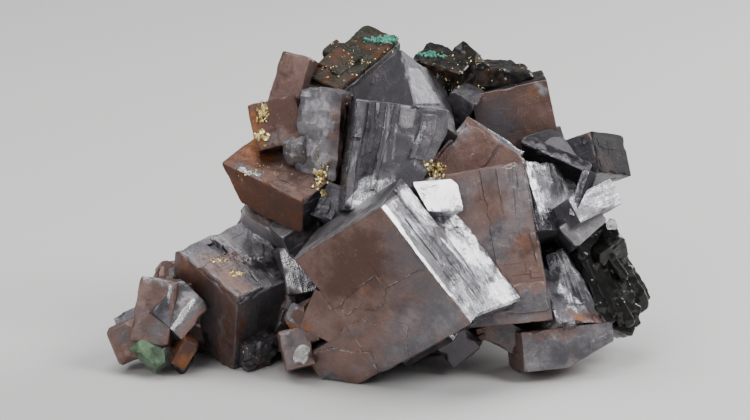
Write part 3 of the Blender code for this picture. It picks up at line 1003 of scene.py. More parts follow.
# The cube right of the middle, and what grows on top of it, beside it and under it
rightCrystals = {
    "big right cube": {
        "at": (24, 2.5, 32),
        "size": (28, 30, 39),
        "turn": (-16, -9, 5),
        "pitch": 0.45,
        "tones": {"-y": "pink", "+x": "dusk", "rest": "brown"},
        "ledges": [("-y", (0.2, 0.97), (-0.4, 0.98), 0.2), ("-y", (-0.1, 0.98), (-0.88, -0.5), 0.5)],
        "slants": [("-z", "x", (-2.5, -17.6), (14.4, -19))],
        "stains": [
            ("-y", (8, 12), (9, 9), "pale", 0.4),
            ("-y", (3, 6), (6, 8), "pink", 0.9),
            ("-y", (9, 6), (3, 5), "pale", 0.35),
            ("-y", (12.6, 14), (2, 6), "pale", 0.5),
            ("-y", (-4, 14.5), (4, 3), "grey", 0.8),
            ("-y", (4, 2), (3, 5), "grey", 0.6),
            ("-y", (11, 0), (3.6, 2.4), "rust", 0.7),
            ("-y", (4, 11), (3, 5), "film", 0.6),
            ("-y", (9, -14), (8, 3), "grey", 0.8),
            ("-y", (-3, -17), (7, 3), "lead", 0.9),
            ("-y", (10.6, -5), (2, 3), "film", 0.5),
            ("-y", (10, -15), (5, 3), "grey", 0.5),
        ],
        "patches": [
            ("-y", [(-14.5, 19.6), (-9, 19.6), (-4.5, 15), (-3.4, 8.5), (-2, 5), (-1, 1), (0, -13),
                    (-14.5, -13)], "silver", 1.4),
        ],
        "plates": [
            ("-y", [(6.9, 20), (6.5, 7.4), (9.4, 7.6), (10.6, 20)], 0.25),
            ("-y", [(11.4, 20), (10.9, 10), (14.5, 10), (14.5, 20)], -0.2),
            ("-y", [(12, 2), (12.6, -6), (10.8, -6.4), (10.4, -9), (14.5, -9), (14.5, 2)], 0.3),
        ],
        "quiet": {"-y": (7, 0.04, 0.14)},
        "chip": 0.8,
        "relief": {"waves": 0.3, "grit": 0.12},
    },
    "crown cube": {
        "at": (22, 6.5, 48.5),
        "size": (18, 18, 21),
        "turn": (-37, 33, -20),
        "tones": {"-y": "film", "rest": "grey"},
        "ledges": [("-y", (-0.9, 0.2), (-0.9, 0.9), 0.6)],
        "stains": [
            ("-y", (-8.4, 5), (3, 3.6), "pale", 0.8),
            ("-y", (1, 0), (8, 8), "dark film", 0.45),
        ],
        "steps": (4, 0.05, 0.15),
    },
    "silver right side": {
        "at": (39.5, 4.5, 42.5),
        "size": (14, 23, 17.5),
        "turn": (-16, -30, -34),
        "tones": {
            "+x": "dull silver",
            "-y": "dull silver",
            "+z": "dull silver",
            "-z": "dusk",
            "rest": "lead",
        },
        # The white stain is a painted highlight
        "stains": [("+x", (-10.8, 4), (1.2, 6), "painted highlight", 0.5), ("+x", (0, 0), (6, 6), "grey", 0.35)],
        "steps": (4, 0.05, 0.2),
        "relief": {"waves": 0.7, "grit": 0.25, "plates": 0.2},
    },
    "inner ridge": {
        "at": (27, 6.5, 56),
        "size": (15, 3, 10),
        "turn": (26, 29, -17),
        "tones": {"+z": "lead", "-y": "film", "rest": "grey"},
        "patches": [("+z", [(-3, 1.6), (7.6, 1.6), (7.6, 0.2), (-3, 0.9)], "silver", 0.5)],
        "chip": 0.5,
    },
    "gap crystal": {
        "at": (19.4, 16.6, 64),
        "size": (7, 8, 12),
        "turn": (14, 32, -12),
        "tones": {"-y": "lead", "rest": "dusk"},
        "stains": [("-y", (1, 1), (2.4, 4), "grey", 0.8), ("-y", (-2, -3), (2, 2), "night", 0.8)],
        "relief": {"waves": 0.9, "grit": 0.4},
    },
    "outer ridge": {
        "at": (43, 8, 53),
        "size": (17.5, 3.5, 6),
        "turn": (28, 20, -20),
        "tones": {"+z": "dusk", "-y": "coal", "rest": "coal"},
        "stains": [("+z", (1, -1), (7, 0.7), "dull silver", 0.9), ("+z", (0, 1), (8, 1), "coal", 0.7)],
        "relief": {"grit": 1.0, "waves": 0.6},
    },
    "thin blade": {
        "at": (48.5, -7.5, 49),
        "size": (2, 6, 11.5),
        "turn": (-22, 11, -26),
        "tones": {"-y": "dull silver", "+x": "coal", "rest": "coal"},
        "chip": 0.4,
    },
    "bright end cube": {
        "at": (50, -5, 45.5),
        "size": (13, 9, 6.5),
        "turn": (-31, -14, 33),
        "tones": {"-y": "silver", "rest": "grey"},
        "lines": {"-y": "x"},
        "stains": [("-y", (0, 0), (6, 3), "dull silver", 0.45), ("-y", (-4, -2), (4, 2), "pale", 0.5)],
        "quiet": {"-y": (2, 0.03, 0.1)},
        "chip": 0.5,
    },
    "grey wedge": {
        "at": (48, -3, 39.5),
        "size": (10.5, 10, 6.5),
        "turn": (-31, -34, 28),
        "tones": {"-y": "pale", "rest": "dusk"},
    },
    "grooved crystal": {
        "at": (42.5, 0, 21.5),
        "size": (16, 23, 14),
        "turn": (45, 10, 33),
        "pitch": 0.6,
        "tones": {"+z": "silver", "-y": "dull silver", "-x": "lead", "rest": "grey"},
        "lines": {"+z": "y", "-y": "z"},
        "ledges": [("-y", (-0.6, -0.2), (-0.95, 0.98), 0.9), ("-y", (0.2, 0.5), (-0.9, 0.9), 0.7)],
        "stains": [
            ("+z", (-6, 0), (2.2, 12), "dusk", 1.0),
            ("+z", (2, -10), (6, 2.4), "brown", 1.0),
            ("+z", (0, -10), (2, 1.4), "orange", 0.9),
        ],
        "steps": (6, 0.1, 0.3),
        "relief": {"waves": 0.6, "grit": 0.2},
    },
    "streaked slab": {
        "at": (47.6, -4.8, 25),
        "size": (9, 3, 20),
        "turn": (-6, -20, -8),
        "tones": {"-y": "dull silver", "-x": "dusk", "rest": "grey"},
        "lines": {"-y": "z"},
        "slants": [("+x", "z", (-9.5, 4.5), (9.5, 0.5))],
        "stains": [
            ("-y", (-3.4, 1), (0.6, 6), "dusk", 0.9),
            ("-y", (-2.2, -3), (1.2, 5), "silver", 0.9),
            ("-y", (1, 6), (4, 4), "silver", 0.7),
            ("-y", (3, -2), (1.4, 5), "lead", 0.5),
            ("-y", (0, -8.6), (5, 1.6), "film", 1.0),
            ("-y", (-1.4, -8), (1, 0.8), "orange", 0.9),
        ],
        "steps": (4, 0.05, 0.25),
        "relief": {"waves": 0.7, "grit": 0.2},
    },
    "foot heel": {
        "at": (30.6, -5.5, 14),
        "size": (9, 7, 6.5),
        "turn": (-12, 24, -14),
        "tones": {"rest": "pink"},
        "stains": [("-y", (1, 0), (3, 3), "lead", 0.8)],
    },
    "foot cube": {
        "at": (44, -6.5, 11),
        "size": (22.5, 16, 9.5),
        "turn": (-15, -3, 12),
        "tones": {"-y": "grey", "-x": "pink", "+z": "brown", "rest": "brown"},
        "slants": [("-z", "x", (-9, -8.5), (12, 0.5))],
        "stains": [
            ("-y", (-2, 4), (11, 1.6), "film", 0.5),
            ("-y", (0, -1), (3, 2), "lead", 0.8),
            ("-y", (7, 3), (4, 2), "pale", 0.5),
        ],
        "quiet": {"-y": (6, 0.04, 0.15)},
        "chip": 0.6,
    },
    "keel cube": {
        "at": (19, -5.5, 13),
        "size": (9, 12, 10),
        "turn": (-3, -41, -4),
        "tones": {"rest": "lead"},
        "quiet": {"-y": (0, 0, 0)},
        "chip": 1.4,
        "worn": 0.5,
    },
    "keel chip": {
        "at": (26, -4, 16),
        "size": (6, 8, 4),
        "turn": (12, -20, 10),
        "tones": {"rest": "brown"},
        "litter": (6, 1, 2.4),
    },
    "right saddle": {
        "at": (43.5, 14.5, 47.5),
        "size": (10.5, 14, 14),
        "turn": (39, -16, 28),
        "tones": {"rest": "lead"},
    },
    "right end cube": {
        "at": (53, 16.5, 51.5),
        "size": (10.5, 14, 10.5),
        "turn": (-16, -24, -33),
        "tones": {"-y": "lead", "+x": "coal", "+z": "dusk", "rest": "lead"},
        "stains": [("+x", (-3, -3), (4, 4), "night", 0.6), ("-y", (4.4, 4.4), (1, 1), "orange", 1.0)],
    },
}

# The crystals across the top, down to the left shelf
palePlate = [(-0.6, 13), (3.4, 13), (3.0, 8.2), (0.6, 7.4), (-0.6, 8.6)]
peakFacet = [(-2.8, 12.9), (2.5, 9.4), (7.2, 2.4), (-0.1, -3), (-2.1, -3.2), (-10.4, 8.7)]
upperCrystals = {
    "striated crystal": {
        "at": (3, 1, 54.5),
        "size": (22.5, 20.5, 26.5),
        "turn": (-18, 9, 6),
        "pitch": 0.45,
        "tones": {"-y": "lead", "-x": "dull silver", "+z": "grey", "rest": "lead"},
        "lines": {"-y": "z"},
        "ledges": [
            ("-y", (-0.98, -0.78), (-0.97, 0.97), 0.9),
            ("-y", (-0.35, -0.2), (-0.6, 0.97), 0.6),
            ("-y", (0.4, 0.75), (0.05, 0.9), 0.7),
        ],
        "slants": [("+x", "z", (-0.9, 8), (9.2, 11.8))],
        "stains": [
            ("-y", (-6, -8.5), (6, 5.5), "silver", 1.0),
            # The white stains are painted highlights
            ("-y", (-7, -10), (3, 2), "painted highlight", 0.6),
            ("-y", (2, -9), (5, 5), "silver", 0.6),
            ("-y", (-9.8, 12), (1.9, 1.5), "painted highlight", 1.0),
            ("-y", (-3, -4), (3, 2), "pale", 0.5),
            ("-y", (6.4, 4), (3.4, 6), "dull silver", 1.0),
            ("-y", (7, 7), (2.4, 3), "pale", 0.6),
        ],
        "patches": [
            ("-y", [(-11.4, 13.4), (-8.8, 13.4), (-8.4, -8), (-11.4, -12)], "grey", 0.4),
            ("-y", [(-8.8, 13.4), (-5.2, 13.4), (-4.6, -3), (-8.6, -6)], "dusk", 1.0),
            ("-y", [(-3.6, 13.4), (-3.1, 13.4), (-2.6, -1), (-3.2, -1)], "pale", 0.3),
            ("-y", [(-1.4, 13.4), (-0.9, 13.4), (-0.8, 0), (-1.2, 0)], "pale", 0.3),
            ("-y", palePlate, "pale", 0.5),
            ("-y", [(5.4, 12), (11, 12), (9.6, 2), (7.8, -2), (4.6, -2), (4.2, 3)], "grey", 1.0),
            ("-y", [(4.8, 10), (6.2, 10), (4.6, -1), (3.6, -1)], "dull silver", 0.5),
        ],
        "plates": [
            ("-y", [(-11.4, 4), (-9, 4), (-9, 3.2), (-11.4, 3.2)], -0.5),
            ("-y", [(-8.2, 13.4), (-7.6, 13.4), (-7.4, 0), (-8, 0)], 0.25),
            ("-y", [(-6.4, 13.4), (-5.6, 13.4), (-5.4, 1), (-6.2, 1)], 0.25),
            ("-y", palePlate, 0.2),
        ],
        "quiet": {"-y": (8, 0.04, 0.16)},
        "chip": 0.6,
    },
    "peak cube": {
        "at": (6.5, 9.2, 65),
        "size": (16.5, 20, 16),
        "turn": (40, -40, -18),
        "tones": {"+x": "dusk", "+z": "lead", "-y": "dusk", "rest": "lead"},
        "patches": [("+x", peakFacet, "grey", 0.6)],
        "plates": [("+x", peakFacet, 0.3)],
        "quiet": {"+x": (4, 0.04, 0.15)},
        "chip": 0.6,
    },
    "top plate": {
        "at": (-6, 27.5, 71),
        "size": (10.5, 25.5, 7),
        "turn": (22, 15, -33),
        "tones": {"+z": "rust", "-y": "dark film", "+x": "dusk", "rest": "dusk"},
        "litter": (10, 0.8, 2.2),
    },
    "upper left cube": {
        "at": (-20, 19, 70),
        "size": (7.5, 14, 13),
        "turn": (-20, 11, -16),
        "tones": {"-y": "film", "rest": "brown"},
        "stains": [("-y", (0, -2), (4, 4), "dark film", 0.4)],
    },
    "left knob": {
        "at": (-23.5, 12, 61),
        "size": (12, 14, 11.5),
        "turn": (-20, -14, -3),
        "tones": {"-y": "dark film", "-x": "orange", "rest": "brown"},
        "stains": [
            ("-y", (-5, 1), (2.5, 6), "orange", 0.7),
            ("-y", (0, -4), (3, 2), "pale", 0.5),
            ("+z", (-3, -5), (2, 2), "pale", 0.8),
        ],
        "steps": (5, 0.05, 0.2),
    },
    "left shelf cube": {
        "at": (-23, 5, 48.5),
        "size": (24.5, 15.5, 10),
        "turn": (19, 15, -34),
        "pitch": 0.45,
        "tones": {"+z": "rust", "-y": "dark rust", "+x": "dusk", "rest": "dark rust"},
        "slants": [("-z", "x", (-11.7, 3.7), (-6.5, -4.5))],
        "stains": [
            ("+z", (-9, 2), (5, 5), "orange", 0.7),
            ("+z", (6, -3), (7, 5), "brown", 0.7),
            ("+z", (-5, -6.4), (3, 1.6), "silver", 1.0),
            ("+z", (2, 3), (5, 4), "pink", 0.9),
            ("-y", (-8, 1), (5, 4), "orange", 0.5),
        ],
        "steps": (4, 0.05, 0.2),
        "relief": {"waves": 0.6, "grit": 0.15},
    },
    "shelf crystal": {
        "at": (-19.4, 2.6, 57),
        "size": (5.4, 4.6, 6),
        "turn": (24, -12, -20),
        "tones": {"-y": "grey", "rest": "grey"},
        "stains": [("-y", (0, 1), (2, 1.4), "silver", 0.8)],
        "chip": 1.6,
        "worn": 0.5,
    },
    "sheltered crystal": {
        "at": (-19.4, 1.6, 37),
        "size": (10, 8, 8),
        "turn": (12, -28, 24),
        "tones": {"-y": "lead", "+z": "pale", "rest": "lead"},
        "stains": [("-y", (-1, 1), (2.4, 1.6), "pale", 0.8), ("-y", (3, -1), (1.6, 2), "pink", 0.8)],
        "litter": (3, 0.8, 2),
    },
    "dissolved lump": {
        "at": (-13, 6.5, 60),
        "size": (11, 10, 21.5),
        "turn": (-11, 1, -16),
        "worn": 1.6,
        "rings": 2,
        "tones": {"-y": "grey", "+x": "brown", "rest": "grey"},
        "stains": [
            ("-y", (0, 5), (4, 4), "pale", 0.6),
            ("-y", (-3, -4), (2, 4), "lead", 0.8),
            ("-y", (4.4, 0), (1.2, 9), "film", 0.6),
            ("-y", (0, -2), (3, 3), "pale", 0.5),
        ],
        "relief": {"lumps": 1.4, "waves": 2.2, "grit": 0.15},
    },
    "under shelf cube": {
        "at": (-12, 2, 44),
        "size": (10, 12, 9),
        "turn": (-24, 20, -8),
        "tones": {"rest": "lead"},
        "stains": [("-y", (2, 1), (2, 2), "dull silver", 0.6)],
        "steps": (5, 0.1, 0.3),
    },
    "top right cube": {
        "at": (33.5, 23.5, 60.5),
        "size": (19, 16, 17.5),
        "turn": (-4, -12, 2),
        "pitch": 0.45,
        "tones": {"-y": "brown", "+z": "crust", "rest": "brown"},
        "stains": [
            ("-y", (6, 3), (4, 7), "film", 0.8),
            ("-y", (-5, 0), (5, 6), "lead", 0.6),
            ("-y", (7.6, 6.4), (3.4, 2.4), "orange", 0.7),
            ("-y", (7.4, 6.8), (1.4, 1.2), "pale", 1.0),
            ("-y", (-2, -8.4), (7, 1), "pale", 0.8),
        ],
        "quiet": {"-y": (5, 0.03, 0.12)},
        "chip": 0.7,
    },
    "top right heel": {
        "at": (39.5, 20, 54.5),
        "size": (10.5, 12, 6),
        "turn": (-15, -13, 14),
        "tones": {"rest": "lead"},
    },
}

# The low crystals at the left
brightFacet = [(9, 9), (1.3, -0.1), (7.4, -2.5), (10, 2)]
leftCrystals = {
    "far left cube": {
        "at": (-52.5, -4.5, 19),
        "size": (9.5, 10, 15.5),
        "turn": (-17, 6, -14),
        "tones": {"-y": "brown", "+z": "pale", "rest": "brown"},
        "stains": [("-y", (-3.6, 0), (1.6, 7), "pink", 0.8), ("-y", (2, -2), (2, 5), "lead", 0.8)],
        "patches": [
            ("-y", [(2.6, 7), (3.6, 7), (3.2, -1), (2.8, -1)], "silver", 0.6),
            ("-y", [(-4.6, 7.8), (4, 7.8), (2, 6.8), (-4, 6.6)], "pale", 1.4),
        ],
        "quiet": {"-y": (5, 0.03, 0.15)},
        "litter": (3, 0.8, 1.8),
    },
    "far left wedge": {
        "at": (-48.5, -5, 19.5),
        "size": (11, 8, 10),
        "turn": (-24, -37, 41),
        "tones": {"-y": "grey", "rest": "lead"},
        "lines": {"-y": "z"},
        "stains": [("-y", (2, 0), (3, 3), "pale", 0.7)],
        "patches": [
            # The white band is a painted highlight
            ("-y", [(4.6, -0.6), (3.4, -1.4), (-2, -1.8), (-6.4, -1.9), (-6.2, -1.2), (0, -0.4)],
             "painted highlight", 0.6),
            ("-y", [(4.6, -3.2), (-5.6, -3), (-5.6, -5.2), (4.6, -5.2)], "pink", 1.0),
            ("-y", [(-5.6, 5.2), (4.6, 5.2), (4.6, 2), (-5.6, 1.4)], "dusk", 1.2),
        ],
    },
    "left tip upper": {
        "at": (-58.5, -1, 14.5),
        "size": (7, 8, 7),
        "turn": (-22, -29, 0),
        "tones": {"rest": "grey"},
    },
    "left tip lower": {
        "at": (-59.5, -5, 12),
        "size": (8, 8, 9.5),
        "turn": (-8, -24, -8),
        "tones": {"rest": "film"},
        "stains": [("-y", (0, 2), (2, 3), "lead", 0.6)],
        "worn": 0.8,
        "chip": 1.6,
    },
    "rust wedge": {
        "at": (-47, -8, 11),
        "size": (4, 8, 7),
        "turn": (10, 30, 20),
        "tones": {"rest": "rust"},
        "stains": [("-y", (0, 2.5), (3, 2), "dark film", 1.0), ("-y", (0, -2), (2, 2), "orange", 0.7)],
    },
    "small dark foot": {
        "at": (-47, -7, 7.5),
        "size": (4, 6, 4),
        "turn": (5, 40, 0),
        "tones": {"rest": "crust"},
        "stains": [("-y", (0, 0), (1.5, 1.5), "pale", 0.6)],
    },
    "middle left cube": {
        "at": (-32.5, 7, 20),
        "size": (25, 24.5, 22),
        "turn": (20, -11, 39),
        "pitch": 0.45,
        "tones": {"+z": "grey", "-x": "brown", "-y": "lead", "+x": "night", "rest": "dusk"},
        "lines": {"+z": "y"},
        "ledges": [("+z", (-0.97, 0), (-0.97, 0.3), 0.9)],
        "slants": [("+x", "y", (-12.8, 4.1), (13.7, 12.7))],
        "stains": [
            ("+z", (-4, 9), (5, 3), "grey", 0.9),
            ("+z", (-9, -6), (3.4, 6), "pink", 0.9),
            ("+z", (-6, 3), (7, 6), "pink", 0.6),
            ("-y", (-6, 0), (6, 9), "dusk", 0.3),
            ("-y", (6, 4), (5, 6), "night", 0.3),
            ("-x", (0, 2), (9, 6), "dark film", 0.6),
            ("-x", (6, 9), (5, 2), "orange", 0.7),
            ("-x", (8, 3), (3, 5), "rust", 0.7),
            ("-y", (-11, 3), (1.2, 6), "rust", 0.9),
            ("-x", (-2, 0), (3, 8), "lead", 0.7),
            ("-x", (4, -4), (2, 4), "grey", 0.6),
            ("-x", (0, -8), (4, 2), "crust", 0.8),
            ("-x", (-7, 1), (0.8, 6), "pale", 0.7),
            ("-x", (5, -2), (1.6, 2), "dull silver", 0.7),
        ],
        "patches": [
            ("+z", [(-2.8, 12.4), (0.4, 12.4), (2, -1), (-0.4, -2)], "pale", 1.0),
            ("+z", brightFacet, "pale", 0.5),
            ("+z", [(-4.0, 9), (-2.2, 9.4), (-1.6, 5), (-3.2, 4.4)], "dusk", 0.4),
            ("+z", [(0.6, -2.6), (4.6, -3.6), (10, -1), (9, -8), (4.6, -13), (1.6, -12), (2.6, -7)],
             "crust", 1.6),
            ("+z", [(-1.4, -4), (0.6, -2.4), (3, -6), (0.4, -7)], "crust", 2.0),
        ],
        "plates": [
            ("+z", [(-13, 12), (-10.8, 12), (-5.4, 4), (0.5, -1.9), (4.3, -3.6), (4.4, -13),
                    (-13, -13)], 0.35),
            ("+z", [(-4.2, 9.4), (-1.6, 10), (-1, 4), (-3.2, 3.4)], -0.7),
            ("+z", brightFacet, 0.4),
            ("+z", [(-2.8, 12.4), (-0.6, 12.4), (1.4, -1), (0, -1.6)], 0.3),
        ],
        "quiet": {"+z": (6, 0.04, 0.16)},
        "litter": (5, 0.8, 1.8),
    },
    "low corner lumps": {
        "at": (-30.6, -2.4, 9.5),
        "size": (9, 9, 9),
        "turn": (20, -11, 39),
        "tones": {"rest": "lead"},
        "stains": [("-y", (2, 0), (3, 4), "dusk", 0.8), ("-y", (-2, -3), (2, 1.5), "rust", 0.8)],
        "litter": (12, 1, 3),
        "chip": 1.8,
        "relief": {"grit": 1.0, "waves": 0.9},
    },
    "rust corner": {
        "at": (-16.6, -10, 18),
        "size": (6, 8, 9),
        "turn": (6, -30, -24),
        "tones": {"rest": "brown"},
        "stains": [("-y", (-1, 1.4), (1.8, 1.6), "orange", 1.0), ("-y", (1, -2), (2, 2), "pink", 0.7)],
    },
    "slanted slab": {
        "at": (-27, 6.5, 38),
        "size": (12.5, 6, 5),
        "turn": (-50, 24, -26),
        "tones": {"rest": "pale"},
        "stains": [("-y", (0, 0), (5, 3), "pink", 0.8)],
    },
    "light grey block": {
        "at": (-19.5, 3, 27),
        "size": (9, 12, 12),
        "turn": (-23, -7, 16),
        "tones": {"-y": "pale", "rest": "grey"},
        # The white stain is a painted highlight
        "stains": [("-y", (-2, 3), (5, 4), "painted highlight", 0.5), ("-y", (1, -3), (5, 4), "silver", 0.9)],
        "steps": (4, 0.05, 0.2),
        "litter": (3, 0.8, 2),
    },
    "recess cube": {
        "at": (-19, -9, 19),
        "size": (6, 8, 4.5),
        "turn": (-24, 30, -6),
        "tones": {"-y": "grey", "+x": "silver", "rest": "grey"},
        "stains": [("-y", (1, 1), (2, 1.5), "silver", 0.9), ("-y", (2, -2), (1, 1), "orange", 0.8)],
        "litter": (4, 0.8, 2),
    },
    "small foot cube": {
        "at": (-19.5, -10.5, 11.5),
        "size": (7, 10, 9.5),
        "turn": (-22, -11, 9),
        "tones": {"rest": "pink"},
        "stains": [("-y", (0, 0), (4, 5), "grey", 0.6)],
        "chip": 1.2,
    },
}

# The body behind them and the crystals of the back: where, size, turn
backCrystals = {
    "base block": ((-3, 24, 13), (40, 36, 20), (4, -3, -4)),
    "base middle": ((4, 10, 22), (34, 26, 24), (-8, 10, 12)),
    "recess backing": ((-19, 6.5, 16), (14, 14, 16), (10, 14, 20)),
    "centre block": ((2, 20, 36), (54, 26, 32), (4, -6, 6)),
    "upper block": ((-4, 24, 57), (28, 18, 24), (6, 8, -10)),
    "right block": ((35, 17, 34), (30, 22, 30), (-5, -10, 8)),
    "right shoulder": ((22, 28, 54), (32, 18, 18), (8, 5, 12)),
    "left block": ((-38, 10, 18), (32, 18, 16), (5, -8, -6)),
    "back cube": ((6, 32, 42), (22, 18, 24), (32, 14, 20)),
    "back left cube": ((-20, 28, 33), (22, 18, 20), (-22, 30, -16)),
    "back right cube": ((32, 30, 30), (22, 18, 24), (24, -28, 30)),
    "back top cube": ((-6, 31, 59), (18, 14, 18), (-30, -18, 24)),
    "back crown": ((24, 32, 53), (16, 14, 16), (38, 22, -14)),
    "back low cube": ((2, 36, 18), (20, 14, 20), (-16, 24, 40)),
    "back low left": ((-30, 24, 14), (18, 16, 16), (28, -14, 12)),
    "back low right": ((28, 30, 14), (16, 16, 18), (12, 34, -22)),
    "back far left": ((-47, 9, 15), (14, 14, 13), (30, 20, 15)),
    "back far right": ((46, 22, 31), (15, 14, 15), (-26, 18, 32)),
}
core = "base middle"  # hidden by all the others
backPitch, corePitch = 0.85, 2.5
seenThroughGaps = ("centre block", "upper block", "recess backing", "left block")
backLedges = {
    "back cube": ("+y", (-0.9, 0.4), (-0.6, 0.9), 0.9),
    "back right cube": ("+y", (-0.5, 0.95), (-0.9, 0.3), 0.9),
    "back left cube": ("+y", (-0.95, 0.3), (-0.8, 0.9), 0.8),
    "back top cube": ("+z", (-0.9, 0.2), (-0.9, 0.9), 0.7),
}
backTones = ("film", "lead", "brown", "pink", "grey", "silver", "dusk", "pale", "film", "rust")
backStains = {"perSide": 2, "reach": 8, "size": (7, 5), "strength": 0.9}


def backCrystal(name):
    # The photograph doesn't show these sides, so their finishes are drawn by chance.
    chance = random.Random("back " + name)
    at, size, turn = backCrystals[name]
    shown = {side: chance.choice(backTones) for side in sixSides}
    shown["rest"] = "lead"
    if name in seenThroughGaps:
        shown.update({"-x": "lead", "-y": "lead"})
    crystal = {"at": at, "size": size, "turn": turn, "tones": shown, "pitch": backPitch}
    crystal["steps"] = (9, 0.1, 0.7)
    crystal["relief"] = {"waves": 0.35, "grit": 0.15}
    if name == core:
        crystal["pitch"] = corePitch
        # The core is black crust all round: a painted shade for the dark under the cluster
        crystal["tones"] = {"rest": "crust"}
    else:
        crystal["litter"] = (12, 1.5, 4.5)
    if name in backLedges:
        crystal["ledges"] = [backLedges[name]]
    crystal["stains"] = []
    reach = backStains["reach"]
    for side in sixSides:
        for item in range(backStains["perSide"]):
            middle = (chance.uniform(-reach, reach), chance.uniform(-reach, reach))
            stain = (side, middle, backStains["size"], chance.choice(backTones), backStains["strength"])
            crystal["stains"].append(stain)
    return crystal


print("growing the galena")
galenaPieces = [
    growGalena("galenaFront", frontCrystals),
    growGalena("galenaRight", rightCrystals),
    growGalena("galenaUpper", upperCrystals),
    growGalena("galenaLeft", leftCrystals),
    growGalena("galenaBack", {name: backCrystal(name) for name in backCrystals}),
]

# Dark sphalerite, as blocks that run into each other: where, size, turn.
# Its tint goes from black at 0 to brown grit at 1. Blades stand on the flank as far as the front shows.
crustRelief = {"lumps": 0.9, "plates": 0.8, "grit": 0.45}
sphaleriteMasses = {
    "sphalerite_top_right": {
        "tint": 0.4,
        "relief": crustRelief,
        "blocks": [
            ((16, 23, 72), (13, 12, 8), (10, 12, -20)),
            ((22, 25, 71), (10, 12, 8.5), (25, -38, 15)),
            ((29.5, 26, 69.2), (15, 14, 7), (-4, 7, 5)),
            ((35, 27.5, 68.7), (10, 12, 4), (0, 18, -8)),
            ((15, 21, 67), (9, 10, 8), (-15, 20, 30)),
            ((27, 32, 67), (18, 11, 9), (14, 6, 25)),
        ],
    },
    "sphalerite_right_flank": {
        "tint": 0.0,
        "relief": crustRelief,
        "blocks": [
            ((51, 3, 25), (11.5, 16, 22), (-19, -9, 37)),
            ((54, 5.5, 22), (15, 13.5, 17.5), (23, -17, -40)),
            ((54, 2, 33), (8, 10, 10), (20, -30, 30)),
            ((57.5, 2, 16), (9, 10, 8), (-20, 25, 10)),
            ((58.8, 7, 21.5), (7, 10, 14), (-10, -25, 30)),
        ],
        "blades": [
            ((53, -3.4, 25), (2.2, 5, 16), (-16, -20, 26)),
            ((54.8, -3.0, 23), (2.4, 5, 17), (-14, -20, 34)),
            ((57, -1.6, 22), (2.6, 6, 16), (-12, -24, 20)),
            ((59.4, 0.6, 20), (2.2, 6, 13), (-10, -20, 36)),
            ((56.4, -0.6, 30), (2, 6, 9), (-12, -30, 30)),
        ],
    },
    "sphalerite_top_plate": {
        "tint": 0.9,
        "relief": {"lumps": 0.5, "plates": 0.6, "grit": 0.4},
        "blocks": [
            ((-6, 25.5, 74.7), (10.3, 25.3, 1.8), (22, 15, -33)),
            ((-1.5, 31.2, 76.8), (7, 9, 2.4), (18, 12, -30)),
            ((-9.5, 22.8, 74.1), (7, 8, 2.2), (26, 18, -38)),
            ((-10, 27.5, 76), (5, 7, 2.4), (20, 17, -26)),
        ],
    },
}
sphaleriteWays = {
    "pitch": 0.55,
    "chip": 0.8,
    "blockWorn": 0.3,
    "bladeWorn": 0.4,
    "bladeRelief": {"waves": 0.9, "grit": 0.25},
}


def carveDark(at, size, turn, tint, depths, worn, chance):
    offset = Vector([chance.uniform(*patternShift) for axis in axes])
    half = Vector(size) / 2
    block = cutBlock(-half, half, sphaleriteWays["pitch"], worn)
    points = readPoints(block.data).astype(float)
    chipEdges(points, -half, half, chance, sphaleriteWays["chip"])
    writePoints(block.data, points)
    store(block.data, "place", "FLOAT_VECTOR", "POINT", points + np.array(offset), "vector")
    store(block.data, "tint", "FLOAT", "POINT", np.full(len(points), tint), "value")
    wear(block, depths, offset)
    setInPlace(block, at, turn)
    return block


def growSphalerite(node):
    mass = sphaleriteMasses[node]
    ways = sphaleriteWays
    chance = random.Random(node)
    blocks = []
    for row in mass["blocks"]:
        blocks.append(carveDark(*row, mass["tint"], mass["relief"], ways["blockWorn"], chance))
    for row in mass.get("blades", ()):
        blocks.append(carveDark(*row, mass["tint"], ways["bladeRelief"], ways["bladeWorn"], chance))
    return nodePiece(blocks, node, "sphalerite", 26)


print("growing the sphalerite")
sphaleritePieces = [growSphalerite(node) for node in sphaleriteMasses]

# Small grains, dropped onto the faces. The start of a node's name is its mineral, and a row holds the
# middle, spread, direction that they are dropped from, how many, and their sizes.
towardView = Vector((0, -0.966, 0.259))
forwardUp = Vector((0, -0.6, 0.8))
grainPatches = {
    "chalcopyrite_left_upper": ((-27.5, 6.2, 65.5), (1.2, 0.6, 2.2), towardView, 50, (0.9, 2.2)),
    "chalcopyrite_left_lower": ((-27.7, 4.4, 60), (1.3, 0.6, 1.1), towardView, 36, (0.9, 2.4)),
    "chalcopyrite_shelf": ((-13.8, -1.5, 51.5), (1.6, 1.4, 3.4), towardView, 60, (0.7, 1.9)),
    "chalcopyrite_shelf_front": ((-31, 0.5, 52.4), (3, 1, 1), forwardUp, 24, (0.3, 0.9)),
    "chalcopyrite_centre": ((14, -2, 53.6), (2.0, 0.8, 1.4), towardView, 70, (0.8, 1.9)),
    "chalcopyrite_low_back": ((-38.9, -0.4, 30.7), (1.6, 0.9, 0.5), forwardUp, 36, (0.35, 1.1)),
    "chalcopyrite_low_front": ((-33.4, -4.7, 28.5), (2, 0.9, 0.5), forwardUp, 40, (0.35, 1.1)),
    "malachite_top_plate": ((1.8, 30.6, 78.5), (3.0, 1.6, 0.6), forwardUp, 170, (0.6, 1.5)),
    "malachite_top_right": ((12.7, 22.2, 76.6), (4, 1.6, 0.6), forwardUp, 110, (0.4, 1.3)),
}
